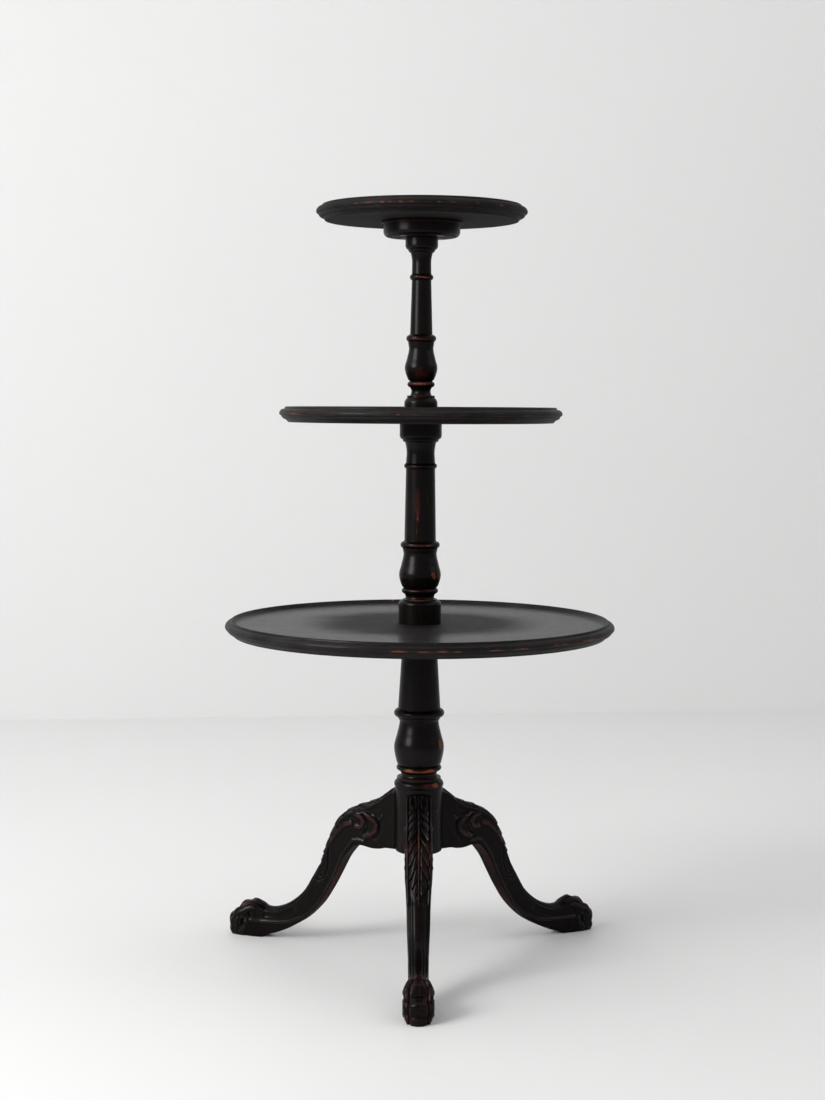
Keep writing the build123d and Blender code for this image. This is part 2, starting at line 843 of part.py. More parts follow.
# Every piece under its name, with the three legs turned to their places
pieces = {
    "lower_column": lower_column_finished,
    "brace_plate": brace_plate,
    "brace_screws": brace_screws,
    "lower_tray": lower_tray,
    "middle_column": middle_column,
    "middle_tray": middle_tray,
    "upper_column": upper_column,
    "top_tray_block": top_tray_block,
    "block_screws": block_screws,
    "top_tray": top_tray,
}
for name, azimuth in leg_azimuths.items():
    with BuildPart() as leg:
        add(leg_blank.part, rotation=(0, 0, azimuth))
    pieces[name] = leg
os.makedirs("parts", exist_ok=True)
for name, piece in pieces.items():
    piece.part.label = name
    export_step(piece.part, f"parts/{name}.step")
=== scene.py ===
import logging
import math
from collections.abc import Sequence
from dataclasses import dataclass, field
from enum import Enum

import bmesh
import bpy
import numpy as np
from mathutils import Matrix, Vector


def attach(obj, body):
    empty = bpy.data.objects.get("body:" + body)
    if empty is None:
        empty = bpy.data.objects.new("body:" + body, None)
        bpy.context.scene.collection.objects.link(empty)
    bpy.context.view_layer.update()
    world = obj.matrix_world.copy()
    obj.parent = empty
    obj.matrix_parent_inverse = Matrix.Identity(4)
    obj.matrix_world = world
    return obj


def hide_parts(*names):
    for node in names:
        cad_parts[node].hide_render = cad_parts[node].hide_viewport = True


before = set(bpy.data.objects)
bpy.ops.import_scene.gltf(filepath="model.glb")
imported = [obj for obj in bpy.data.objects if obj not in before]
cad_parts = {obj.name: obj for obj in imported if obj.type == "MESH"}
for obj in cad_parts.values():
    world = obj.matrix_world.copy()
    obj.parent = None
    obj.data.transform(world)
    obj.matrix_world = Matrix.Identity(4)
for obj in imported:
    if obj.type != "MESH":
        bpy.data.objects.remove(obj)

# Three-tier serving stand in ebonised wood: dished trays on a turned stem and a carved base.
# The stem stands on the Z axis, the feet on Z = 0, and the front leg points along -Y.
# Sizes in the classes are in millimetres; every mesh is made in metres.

LOG = logging.getLogger("serving_stand")
MILLIMETRE = 0.001
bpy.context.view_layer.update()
Colour = tuple[float, float, float, float]
Point = tuple[float, float]
Noise = tuple[float, float, float]  # repeats per metre, number of finer layers, their strength
Piece = bpy.types.Object
Material = bpy.types.Material
Socket = bpy.types.NodeSocket
Array = np.ndarray


def between(start: float, end: float, share: float) -> float:
    """The value at that share of the way from start to end."""
    return start + (end - start) * share


def smooth_step(low: float, high: float, value: Array) -> Array:
    """A soft step from 0 at low to 1 at high, which falls where low is the higher of the two."""
    share = np.clip((value - low) / (high - low), 0.0, 1.0)
    return share * share * (3.0 - 2.0 * share)


def bell(value: Array, middle: float | Array, width: float) -> Array:
    """A smooth bump of height 1 at middle, which has sunk to about a third at width from it."""
    return np.exp(-(((value - middle) / width) ** 2))


def dome(value: Array, middle: float | Array, half: float | Array) -> Array:
    """A half-round bead of height 1 at middle, which ends at half on either side."""
    return np.sqrt(np.clip(1.0 - ((value - middle) / half) ** 2, 0, 1))


def smooth_curve(
    share: Array,
    span: float | Array,
    ends: Sequence[Array],
    slopes: Sequence[Array],
) -> Array:
    """Points of a smooth curve between two given points.

    Args:
        share: How far along the curve each point is, from 0 to 1.
        span: The distance that the slopes are measured over.
        ends: The curve's two ends.
        slopes: Its direction at each end.

    Returns:
        The points.
    """
    square, cube = share**2, share**3
    return (
        (2 * cube - 3 * square + 1) * ends[0]
        + (cube - 2 * square + share) * span * slopes[0]
        + (3 * square - 2 * cube) * ends[1]
        + (cube - square) * span * slopes[1]
    )


def polar(reach: float, azimuth: float) -> Point:
    """The point at that distance from the stem's axis and at that azimuth in degrees."""
    return (reach * math.cos(math.radians(azimuth)), reach * math.sin(math.radians(azimuth)))


# ---------------------------------------------------------------- node helpers


class Term:
    """A shader socket that takes part in Python arithmetic."""

    def __init__(self, shader: "Shader", socket: Socket) -> None:
        """Keeps the shader that owns the socket, and the socket."""
        self.shader = shader
        self.socket = socket

    def _math(self, operation: str, first: object, second: object) -> "Term":
        """The result of a new Math node for two values, each a Term or a number."""
        return self.shader.term("ShaderNodeMath", {"operation": operation}, {0: first, 1: second})

    def __add__(self, other: object) -> "Term":
        """This value plus the other."""
        return self._math("ADD", self, other)

    def __radd__(self, other: object) -> "Term":
        """The other value plus this."""
        return self._math("ADD", other, self)

    def __sub__(self, other: object) -> "Term":
        """This value less the other."""
        return self._math("SUBTRACT", self, other)

    def __rsub__(self, other: object) -> "Term":
        """The other value less this."""
        return self._math("SUBTRACT", other, self)

    def __mul__(self, other: object) -> "Term":
        """This value times the other."""
        return self._math("MULTIPLY", self, other)

    def __rmul__(self, other: object) -> "Term":
        """The other value times this."""
        return self._math("MULTIPLY", other, self)


class NodeTree:
    """A node tree, and the one way that nodes are added to it."""

    def __init__(self, tree: bpy.types.NodeTree) -> None:
        """Keeps the tree."""
        self.tree = tree

    def node(
        self, kind: str, settings: dict | None = None, inputs: dict | None = None
    ) -> bpy.types.Node:
        """Adds a node.

        Args:
            kind: The node's type.
            settings: Its properties, set first.
            inputs: The values or links of its sockets, by name or number.

        Returns:
            The new node.
        """
        made = self.tree.nodes.new(kind)
        for key, value in (settings or {}).items():
            setattr(made, key, value)
        for key, value in (inputs or {}).items():
            source = value.socket if isinstance(value, Term) else value
            if isinstance(source, Socket):
                self.tree.links.new(source, made.inputs[key])
            else:
                made.inputs[key].default_value = value
        return made


class Shader(NodeTree):
    """A material and the nodes that make it."""

    def __init__(self, name: str) -> None:
        """Starts an empty material.

        Args:
            name: The material's name.
        """
        self.material = bpy.data.materials.new(name)
        self.material.use_nodes = True
        super().__init__(self.material.node_tree)
        self.tree.nodes.clear()

    def term(
        self,
        kind: str,
        settings: dict | None = None,
        inputs: dict | None = None,
        output: int | str = 0,
    ) -> Term:
        """Adds a node as node does, and gives the output of that name or number."""
        return Term(self, self.node(kind, settings, inputs).outputs[output])

    def place(self, scale: Sequence[float] = (1, 1, 1), turn: Sequence[float] = (0, 0, 0)) -> Term:
        """Object coordinates, stretched and turned.

        Args:
            scale: How often the pattern repeats per metre along each axis, relative to plain.
            turn: The pattern's turn about each axis, in radians.

        Returns:
            The coordinates.
        """
        plain = self.term("ShaderNodeTexCoord", output="Object")
        return self.term(
            "ShaderNodeMapping", None, {"Vector": plain, "Rotation": turn, "Scale": scale}
        )

    def attribute(self, name: str) -> Term:
        """The number that the mesh carries under that name."""
        return self.term("ShaderNodeAttribute", {"attribute_name": name}, output="Fac")

    def noise(self, vector: Term, pattern: Noise) -> Term:
        """Adds a noise pattern.

        Args:
            vector: Where it is read.
            pattern: Its scale, detail and roughness.

        Returns:
            The pattern, from 0 to 1.
        """
        scale, detail, roughness = pattern
        inputs = {"Vector": vector, "Scale": scale, "Detail": detail, "Roughness": roughness}
        return self.term("ShaderNodeTexNoise", None, inputs)

    def step(self, value: Term, low: float, high: float) -> Term:
        """A soft step from 0 at low to 1 at high.

        Args:
            value: The value that drives it.
            low: Where the step starts.
            high: Where it ends.

        Returns:
            The step.
        """
        return self.term(
            "ShaderNodeMapRange",
            {"interpolation_type": "SMOOTHSTEP"},
            {"Value": value, "From Min": low, "From Max": high, "To Min": 0.0, "To Max": 1.0},
        )

    def mix(self, share: Term, first: Term | Colour, second: Term | Colour) -> Term:
        """Mixes two colours.

        Args:
            share: How much of the second.
            first: The first colour.
            second: The second colour.

        Returns:
            The mixed colour.
        """
        return self.term(
            "ShaderNodeMix", {"data_type": "RGBA"}, {0: share, 6: first, 7: second}, output=2
        )

    def bump(self, height: Term, depth: float) -> Term:
        """A normal for relief of that depth, in metres."""
        inputs = {"Height": height, "Distance": depth, "Strength": 1.0}
        return self.term("ShaderNodeBump", None, inputs)

    def surface(self, inputs: dict) -> Material:
        """Ends the material in a Principled surface.

        Args:
            inputs: The values or links of its sockets.

        Returns:
            The material.
        """
        body = self.term("ShaderNodeBsdfPrincipled", None, inputs)
        self.node("ShaderNodeOutputMaterial", None, {"Surface": body})
        return self.material


# ---------------------------------------------------------------- finishes


class Grain(Enum):
    """How far the wood's fibres stretch a pattern, as repeats along X, Y and Z."""

    UPRIGHT = (1.0, 1.0, 0.07)
    ACROSS = (0.05, 1.0, 1.0)
    CARVED = (1.0, 1.0, 0.35)


@dataclass(frozen=True)
class EbonisedWood:
    """Mahogany stained and polished black, rubbed through to red-brown where it is handled."""

    name: str
    grain: Grain
    black: Colour = (0.0024, 0.0013, 0.0013, 1.0)
    thin: Colour = (0.036, 0.0085, 0.0058, 1.0)
    bare: Colour = (0.22, 0.066, 0.030, 1.0)
    roughness: float = 0.25
    spread: float = 0.12
    shine: float = 0.045
    coat: float = 0.15
    coat_roughness: float = 0.24
    thin_from: float = 0.58
    thin_span: float = 0.2
    bare_from: float = 0.74
    bare_span: float = 0.08
    burnished: float = 5.5
    streak: Noise = (420.0, 4.0, 0.62)
    cloud: Noise = (17.0, 4.0, 0.6)
    fleck: Noise = (330.0, 3.0, 0.6)
    scuff: Noise = (75.0, 5.0, 0.68)
    pores: Noise = (1500.0, 2.0, 0.5)
    grain_depth: float = 0.00006

    def _tinted(self, colour: Colour, strength: float) -> Colour:
        """The colour, lighter or deeper by that factor."""
        return tuple(strength * part for part in colour[:3]) + (1.0,)

    def material(self) -> Material:
        """The finish as a material.

        Returns:
            The material.
        """
        shader = Shader(self.name)
        fibre = shader.place(self.grain.value)
        plain = shader.place()
        rub = shader.attribute("rub")
        crease = shader.attribute("crease")
        streak = shader.noise(fibre, self.streak)
        cloud = shader.noise(plain, self.cloud)
        fleck = shader.noise(plain, self.fleck)
        scuff = shader.noise(plain, self.scuff)
        thinning = 0.55 * rub + 0.42 * cloud + 0.26 * streak + 0.12 * scuff - 0.30 * crease
        thin = shader.step(thinning, self.thin_from, self.thin_from + self.thin_span)
        wearing = 0.66 * rub + 0.30 * scuff + 0.30 * fleck
        bare = shader.step(wearing, self.bare_from, self.bare_from + self.bare_span)
        shade = shader.step(streak, 0.36, 0.66)
        colour = shader.mix(shade, self.black, self._tinted(self.black, 1.8))
        colour = shader.mix(thin, colour, self.thin)
        wood = shader.mix(streak, self._tinted(self.bare, 0.55), self.bare)
        colour = shader.mix(bare, colour, wood)
        pores = shader.step(shader.noise(fibre, self.pores), 0.30, 0.44)
        relief = 0.55 * pores + 0.35 * streak + 0.25 * scuff - 0.6 * bare
        rough = self.roughness + self.spread * scuff + 0.07 * streak + 0.14 * crease + 0.16 * bare
        hidden = shader.attribute("plain")
        polish = self.coat * (1.0 - 0.85 * hidden) * (1.0 - 0.45 * crease) * (1.0 - 0.7 * bare)
        polish = polish * (1.0 + self.burnished * shader.attribute("burnish"))
        return shader.surface(
            {
                "Base Color": colour,
                "Roughness": rough + 0.3 * hidden,
                "Normal": shader.bump(relief, self.grain_depth),
                "Specular IOR Level": self.shine,
                "Coat Weight": polish,
                "Coat Roughness": self.coat_roughness,
            }
        )


@dataclass(frozen=True)
class RubbedTray:
    """The trays' ebonised boards: wiped satin tops with straight grain, worn red-brown lips."""

    name: str
    black: Colour = (0.0034, 0.0025, 0.0025, 1.0)
    dry: Colour = (0.016, 0.0135, 0.013, 1.0)
    thin: Colour = (0.024, 0.0075, 0.005, 1.0)
    bare: Colour = (0.115, 0.037, 0.021, 1.0)
    pale: Colour = (0.46, 0.36, 0.29, 1.0)
    grain_turn: float = 9.0
    wiped: tuple[float, float] = (0.17, 0.255)
    roughness: float = 0.46
    shine: float = 0.13
    coat: float = 0.18
    coat_roughness: float = 0.16
    streak: Noise = (300.0, 5.0, 0.65)
    figure: Noise = (46.0, 3.0, 0.55)
    cloud: Noise = (9.0, 4.0, 0.62)
    scuff: Noise = (70.0, 5.0, 0.7)
    fleck: Noise = (310.0, 2.0, 0.6)
    pores: Noise = (1100.0, 2.0, 0.5)
    grain_depth: float = 0.00005

    def material(self) -> Material:
        """The finish as a material.

        Returns:
            The material.
        """
        shader = Shader(self.name)
        board = shader.place(Grain.ACROSS.value, (0.0, 0.0, math.radians(self.grain_turn)))
        plain = shader.place()
        rub = shader.attribute("rub")
        crease = shader.attribute("crease")
        streak = shader.noise(board, self.streak)
        figure = shader.noise(board, self.figure)
        cloud = shader.noise(plain, self.cloud)
        scuff = shader.noise(plain, self.scuff)
        fleck = shader.noise(plain, self.fleck)
        reach = shader.term(
            "ShaderNodeVectorMath", {"operation": "LENGTH"}, {0: shader.place((1, 1, 0))}, 1
        )
        polished = shader.step(reach + 0.09 * cloud + 0.03 * scuff, *self.wiped)
        dust = shader.step(0.6 * streak + 0.5 * figure, 0.44, 0.78)
        thin = shader.step(0.52 * rub + 0.50 * cloud + 0.20 * scuff - 0.3 * crease, 0.62, 0.84)
        bare = shader.step(0.62 * rub + 0.30 * scuff + 0.30 * fleck, 0.78, 0.86)
        nick = shader.step(0.40 * rub + 0.62 * fleck, 0.84, 0.88)
        colour = shader.mix(dust, self.black, self.dry)
        colour = shader.mix(thin, colour, self.thin)
        colour = shader.mix(bare, colour, self.bare)
        colour = shader.mix(nick, colour, self.pale)
        pores = shader.step(shader.noise(board, self.pores), 0.30, 0.42)
        relief = 0.5 * pores + 0.5 * streak + 0.3 * scuff - 0.6 * bare
        rough = self.roughness - 0.17 * polished + 0.17 * scuff + 0.10 * streak
        rough = rough + 0.06 * cloud + 0.12 * bare
        hidden = shader.attribute("plain")
        return shader.surface(
            {
                "Base Color": colour,
                "Roughness": rough + 0.25 * hidden,
                "Normal": shader.bump(relief, self.grain_depth),
                "Specular IOR Level": self.shine,
                "Coat Weight": self.coat * polished * (1.0 - hidden),
                "Coat Roughness": self.coat_roughness,
            }
        )


@dataclass(frozen=True)
class ForgedIron:
    """Blackened iron plate with a rust bloom and hammered face."""

    name: str
    dark: Colour = (0.045, 0.041, 0.039, 1.0)
    rust: Colour = (0.13, 0.052, 0.024, 1.0)
    scale: Noise = (120.0, 5.0, 0.65)
    hammer: Noise = (60.0, 1.0, 0.4)
    hammer_depth: float = 0.0003

    def material(self) -> Material:
        """The finish as a material.

        Returns:
            The material.
        """
        shader = Shader(self.name)
        plain = shader.place()
        scale = shader.noise(plain, self.scale)
        hammer = shader.noise(plain, self.hammer)
        bloom = shader.step(scale, 0.52, 0.68)
        return shader.surface(
            {
                "Base Color": shader.mix(bloom, self.dark, self.rust),
                "Metallic": 0.85 - 0.7 * bloom,
                "Roughness": 0.48 + 0.3 * bloom,
                "Normal": shader.bump(0.7 * hammer + 0.3 * scale, self.hammer_depth),
            }
        )


@dataclass(frozen=True)
class DulledSteel:
    """Old screw steel, brushed round by the screwdriver and dulled."""

    name: str
    bright: Colour = (0.34, 0.32, 0.30, 1.0)
    dull: Colour = (0.12, 0.10, 0.085, 1.0)
    tarnish: Noise = (260.0, 4.0, 0.65)
    scratch: Noise = (2400.0, 2.0, 0.6)
    scratch_depth: float = 0.00003

    def material(self) -> Material:
        """The finish as a material.

        Returns:
            The material.
        """
        shader = Shader(self.name)
        plain = shader.place()
        tarnish = shader.noise(plain, self.tarnish)
        brushed = shader.place((1.0, 0.12, 1.0), (0.0, 0.0, 0.6))
        scratch = shader.noise(brushed, self.scratch)
        stain = shader.step(tarnish, 0.40, 0.62)
        return shader.surface(
            {
                "Base Color": shader.mix(stain, self.bright, self.dull),
                "Metallic": 1.0 - 0.45 * stain,
                "Roughness": 0.34 + 0.18 * stain + 0.10 * scratch,
                "Normal": shader.bump(scratch, self.scratch_depth),
            }
        )


# ---------------------------------------------------------------- outlines


class Outline:
    """A turned piece's half outline, drawn in millimetres as radius and height.

    STEP is the distance between points on curves, ARRIS the radius that sharp edges are eased by,
    SHARP the turn in radians that counts as an edge, and BLUR how far wear spreads from one.
    CUT is the most that easing takes off a straight run, as a share of its length.
    """

    STEP = 0.7
    ARRIS = 0.45
    SHARP = 0.4
    CUT = 0.42
    BLUR = 0.9
    RUB_LIMIT = 0.55

    def __init__(self, start: Point) -> None:
        """Starts at that point."""
        self.points = [start]

    def line(self, *ends: Point) -> "Outline":
        """Straight runs to each of these points in turn."""
        self.points.extend(ends)
        return self

    def _turn(self, centre: Array, start: Array, sweep: float) -> list[Point]:
        """Samples an arc about a centre.

        Args:
            centre: The arc's centre.
            start: Its first point.
            sweep: How far it turns, in radians.

        Returns:
            Its points, without the first.
        """
        arm = start - centre
        length = abs(sweep) * float(np.hypot(*arm))
        count = max(5, int(math.ceil(length / self.STEP)))
        made = []
        for index in range(1, count + 1):
            angle = sweep * index / count
            cosine, sine = math.cos(angle), math.sin(angle)
            x = centre[0] + arm[0] * cosine - arm[1] * sine
            y = centre[1] + arm[0] * sine + arm[1] * cosine
            made.append((float(x), float(y)))
        return made

    def arc(self, middle: Point, end: Point) -> "Outline":
        """An arc through the middle point to the end.

        Args:
            middle: A point on the arc.
            end: Its last point.

        Returns:
            This outline.
        """
        a, b, c = (np.array(point, float) for point in (self.points[-1], middle, end))
        matrix = 2.0 * np.array([b - a, c - a])
        centre = np.linalg.solve(matrix, np.array([b @ b - a @ a, c @ c - a @ a]))
        angles = [math.atan2(*(point - centre)[::-1]) for point in (a, b, c)]
        sweep = (angles[2] - angles[0]) % (2.0 * math.pi)
        if (angles[1] - angles[0]) % (2.0 * math.pi) > sweep:
            sweep -= 2.0 * math.pi
        self.points.extend(self._turn(centre, a, sweep))
        return self

    def ring(self, low: float, high: float, root: float, crown: float) -> None:
        """A round ring between two heights, from the radius at its roots to that at its crown."""
        self.line((root, low)).arc((crown, (low + high) / 2), (root, high))

    def _tangent_arc(self, start: Point, end: Point, tangent: Point) -> list[Point]:
        """Samples the arc that leaves a point in a given direction.

        Args:
            start: Its first point.
            end: Its last point.
            tangent: Its direction at the start.

        Returns:
            Its points, with both ends.
        """
        a, c, t = np.array(start, float), np.array(end, float), np.array(tangent, float)
        normal = np.array([-t[1], t[0]])
        chord = c - a
        radius = float(chord @ chord) / (2.0 * float(chord @ normal))
        centre = a + normal * radius
        half = math.atan2(abs(float(chord @ normal)), float(chord @ t))
        sweep = 2.0 * half * (1.0 if radius > 0 else -1.0)
        return [start, *self._turn(centre, a, sweep)]

    def leave(self, end: Point, tangent: Point) -> "Outline":
        """An arc to the end that leaves in that direction."""
        self.points.extend(self._tangent_arc(self.points[-1], end, tangent)[1:])
        return self

    def meet(self, end: Point, tangent: Point) -> "Outline":
        """An arc to the end, which has that direction when drawn back from the end.

        Args:
            end: Its last point.
            tangent: Its direction there, backwards.

        Returns:
            This outline.
        """
        back = self._tangent_arc(end, self.points[-1], tangent)
        self.points.extend(back[::-1][1:])
        return self

    def curve(self, through: Sequence[Point], start: Point, end: Point) -> "Outline":
        """A smooth curve through these points.

        Args:
            through: The points, the last of which ends the curve.
            start: Its direction at the outline's last point.
            end: Its direction at its own last point.

        Returns:
            This outline.
        """
        knots = np.array([self.points[-1], *through], float)
        spans = np.hypot(*np.diff(knots, axis=0).T)
        slopes = np.zeros_like(knots)
        slopes[1:-1] = (knots[2:] - knots[:-2]) / (spans[1:] + spans[:-1])[:, None]
        slopes[0] = np.array(start) / math.hypot(*start)
        slopes[-1] = np.array(end) / math.hypot(*end)
        for index, span in enumerate(spans):
            share = np.linspace(0.0, 1.0, max(6, int(span / self.STEP)) + 1)[1:, None]
            made = smooth_curve(share, span, knots[index : index + 2], slopes[index : index + 2])
            self.points.extend((float(x), float(y)) for x, y in made)
        return self

    def eased(self) -> Array:
        """The outline with each sharp arris and corner softly rounded.

        Returns:
            Its points.
        """
        raw = [self.points[0]]
        raw += [b for a, b in zip(self.points, self.points[1:]) if math.dist(a, b) > 1e-6]
        made = [raw[0]]
        for before, here, after in zip(raw, raw[1:], raw[2:]):
            into, out = np.subtract(here, before), np.subtract(after, here)
            long_in, long_out = float(np.hypot(*into)), float(np.hypot(*out))
            cosine = float(into @ out) / (long_in * long_out)
            turn = math.acos(max(-1.0, min(1.0, cosine)))
            if turn < self.SHARP or here[0] == 0:
                made.append(here)
                continue
            cut = min(self.ARRIS * math.tan(turn / 2), self.CUT * long_in, self.CUT * long_out)
            first = np.array(here) - into / long_in * cut
            last = np.array(here) + out / long_out * cut
            for share in (0.0, 0.25, 0.5, 0.75, 1.0):
                corner = 2 * share * (1 - share) * np.array(here)
                point = (1 - share) ** 2 * first + corner + share**2 * last
                made.append((float(point[0]), float(point[1])))
        made.append(raw[-1])
        return np.array(made, float)

    def profile(self, step: float) -> "Profile":
        """Finishes the outline.

        Args:
            step: The longest straight run between two of its points.

        Returns:
            The outline's points with what is worn and what is sunk.
        """
        eased = self.eased()
        points = [eased[0]]
        for a, b in zip(eased, eased[1:]):
            count = max(1, int(math.ceil(math.dist(a, b) / step)))
            points.extend(a + (b - a) * index / count for index in range(1, count + 1))
        made = np.array(points)
        runs = np.diff(made, axis=0)
        lengths = np.hypot(*runs.T)
        heading = np.unwrap(np.arctan2(runs[:, 1], runs[:, 0]))
        bend = np.zeros(len(made))
        bend[1:-1] = np.diff(heading) / (0.5 * (lengths[1:] + lengths[:-1]) + 0.25)
        along = np.concatenate([[0.0], np.cumsum(lengths)])
        weight = bell(along[:, None], along[None, :], self.BLUR)
        bend = (weight @ bend) / weight.sum(1)
        ahead = np.roll(made, -1, 0)
        area = float((made[:, 0] * ahead[:, 1] - ahead[:, 0] * made[:, 1]).sum())
        turn = math.copysign(1.0, area)
        bend = bend * turn
        facing = np.append(runs[:, 0] / lengths, 0.0) * turn
        return Profile(
            made,
            np.clip(1.1 * bend, 0.0, self.RUB_LIMIT),
            np.clip(-1.5 * bend, 0.0, 1.0),
            smooth_step(0.7, 0.9, facing),
        )


@dataclass
class Profile:
    """A finished half outline: its points, and where it is worn, sunk, or plain and faces down."""

    points: Array
    rub: Array
    crease: Array
    plain: Array


# ---------------------------------------------------------------- meshes


def put(name: str, data: bpy.types.ID | None) -> Piece:
    """Puts an object in the scene.

    Args:
        name: Its name.
        data: Its mesh, lamp or camera.

    Returns:
        The object.
    """
    thing = bpy.data.objects.new(name, data)
    bpy.context.scene.collection.objects.link(thing)
    return thing


def run_modifiers(thing: Piece) -> bpy.types.Mesh:
    """Runs an object's modifiers.

    Args:
        thing: The object, which keeps them.

    Returns:
        A new mesh with their result.
    """
    bpy.context.view_layer.update()
    evaluated = thing.evaluated_get(bpy.context.evaluated_depsgraph_get())
    return bpy.data.meshes.new_from_object(evaluated)


def face_outwards(mesh: bpy.types.Mesh) -> None:
    """Turns a closed mesh's faces outwards.

    Args:
        mesh: The mesh.
    """
    work = bmesh.new()
    work.from_mesh(mesh)
    bmesh.ops.recalc_face_normals(work, faces=work.faces)
    if work.calc_volume(signed=True) < 0:
        bmesh.ops.reverse_faces(work, faces=work.faces)
    work.to_mesh(mesh)
    work.free()


class Growth(NodeTree):
    """A Geometry Nodes tree that is built once and run on one mesh at a time."""

    def __init__(self, name: str, inputs: Sequence[tuple[str, str]]) -> None:
        """Starts a tree.

        Args:
            name: Its name.
            inputs: The name and socket type of each named input after the geometry.
        """
        super().__init__(bpy.data.node_groups.new(name, "GeometryNodeTree"))
        sockets, shape = self.tree.interface, "NodeSocketGeometry"
        sockets.new_socket("Geometry", in_out="INPUT", socket_type=shape)
        self.identifiers = {}
        for label, kind in inputs:
            socket = sockets.new_socket(label, in_out="INPUT", socket_type=kind)
            self.identifiers[label] = socket.identifier
        sockets.new_socket("Geometry", in_out="OUTPUT", socket_type=shape)
        self.start = self.tree.nodes.new("NodeGroupInput")
        self.end = self.tree.nodes.new("NodeGroupOutput")

    def out(self, kind: str, settings: dict | None = None, inputs: dict | None = None) -> Socket:
        """Adds a node and gives its first output, as node() takes it."""
        return self.node(kind, settings, inputs).outputs[0]

    def math(self, operation: str, first: object, second: object = 0.0) -> Socket:
        """The result of a new Math node for two values, each a socket or a number."""
        return self.out("ShaderNodeMath", {"operation": operation}, {0: first, 1: second})

    def close(self, geometry: Socket, material: Socket) -> None:
        """Ends the tree in Realize Instances and Set Material.

        Args:
            geometry: What the tree has made.
            material: The material's input.
        """
        real = self.out("GeometryNodeRealizeInstances", None, {"Geometry": geometry})
        dressed = self.out(
            "GeometryNodeSetMaterial", None, {"Geometry": real, "Material": material}
        )
        self.tree.links.new(dressed, self.end.inputs[0])

    def grow(self, name: str, seed: bpy.types.Mesh, values: dict[str, object]) -> Piece:
        """Runs the tree on a mesh.

        Args:
            name: The finished piece's name.
            seed: The mesh that it starts from.
            values: The value of each named input.

        Returns:
            The finished piece, a plain mesh at the origin.
        """
        starter = put(name + "_seed", seed)
        modifier = starter.modifiers.new("grow", "NODES")
        modifier.node_group = self.tree
        for label, value in values.items():
            modifier[self.identifiers[label]] = value
        mesh = run_modifiers(starter)
        mesh.name = name
        starter.modifiers.remove(modifier)
        bpy.data.objects.remove(starter, do_unlink=True)
        bpy.data.meshes.remove(seed)
        return put(name, mesh)


class Lathe(Growth):
    """Turns a half outline round the Z axis into a closed mesh.

    WEAR names the numbers that the outline carries to the mesh, and WELD is the distance in metres
    at which the points of the seam and of the axis become one.
    """

    WEAR = ("rub", "crease", "plain")
    WELD = 0.000002

    def __init__(self) -> None:
        """Builds the tree."""
        inputs = [("Segments", "NodeSocketInt"), ("Material", "NodeSocketMaterial")]
        super().__init__("turn_on_lathe", inputs)
        outline, segments, material = (self.start.outputs[index] for index in range(3))
        size = self.out(
            "GeometryNodeAttributeDomainSize", {"component": "MESH"}, {"Geometry": outline}
        )
        columns = self.math("ADD", segments, 1.0)
        grid = self.out(
            "GeometryNodeMeshGrid",
            None,
            {"Size X": 1.0, "Size Y": 1.0, "Vertices X": columns, "Vertices Y": size},
        )
        index = self.out("GeometryNodeInputIndex")
        row = self.math("MODULO", index, size)
        column = self.math("DIVIDE", self.math("SUBTRACT", index, row), size)
        angle = self.math("DIVIDE", self.math("MULTIPLY", column, 2.0 * math.pi), segments)
        place = self.out("GeometryNodeInputPosition")
        point = self.out(
            "GeometryNodeSampleIndex",
            {"data_type": "FLOAT_VECTOR", "domain": "POINT"},
            {"Geometry": outline, "Value": place, "Index": row},
        )
        parts = self.node("ShaderNodeSeparateXYZ", None, {0: point})
        turned = self.out(
            "ShaderNodeCombineXYZ",
            None,
            {
                0: self.math("MULTIPLY", parts.outputs[0], self.math("COSINE", angle)),
                1: self.math("MULTIPLY", parts.outputs[0], self.math("SINE", angle)),
                2: parts.outputs[2],
            },
        )
        body = self.out("GeometryNodeSetPosition", None, {"Geometry": grid, "Position": turned})
        for label in self.WEAR:
            carried = self.out(
                "GeometryNodeInputNamedAttribute", {"data_type": "FLOAT"}, {"Name": label}
            )
            sampled = self.out(
                "GeometryNodeSampleIndex",
                {"data_type": "FLOAT", "domain": "POINT"},
                {"Geometry": outline, "Value": carried, "Index": row},
            )
            body = self.out(
                "GeometryNodeStoreNamedAttribute",
                {"data_type": "FLOAT", "domain": "POINT"},
                {"Geometry": body, "Name": label, "Value": sampled},
            )
        closed = self.out(
            "GeometryNodeMergeByDistance", None, {"Geometry": body, "Distance": self.WELD}
        )
        smooth = self.out(
            "GeometryNodeSetShadeSmooth", None, {"Geometry": closed, "Shade Smooth": True}
        )
        self.close(smooth, material)

    def turn(self, name: str, profile: Profile, segments: int, material: Material) -> Piece:
        """Turns one piece.

        Args:
            name: The piece's name.
            profile: Its half outline.
            segments: How many faces go round it.
            material: Its finish.

        Returns:
            The piece.
        """
        seed = bpy.data.meshes.new(name + "_outline")
        places = [(x * MILLIMETRE, 0.0, z * MILLIMETRE) for x, z in profile.points]
        seed.from_pydata(places, [(i, i + 1) for i in range(len(places) - 1)], [])
        for label in self.WEAR:
            carried = seed.attributes.new(label, "FLOAT", "POINT")
            carried.data.foreach_set("value", getattr(profile, label))
        piece = self.grow(name, seed, {"Segments": segments, "Material": material})
        face_outwards(piece.data)
        return piece


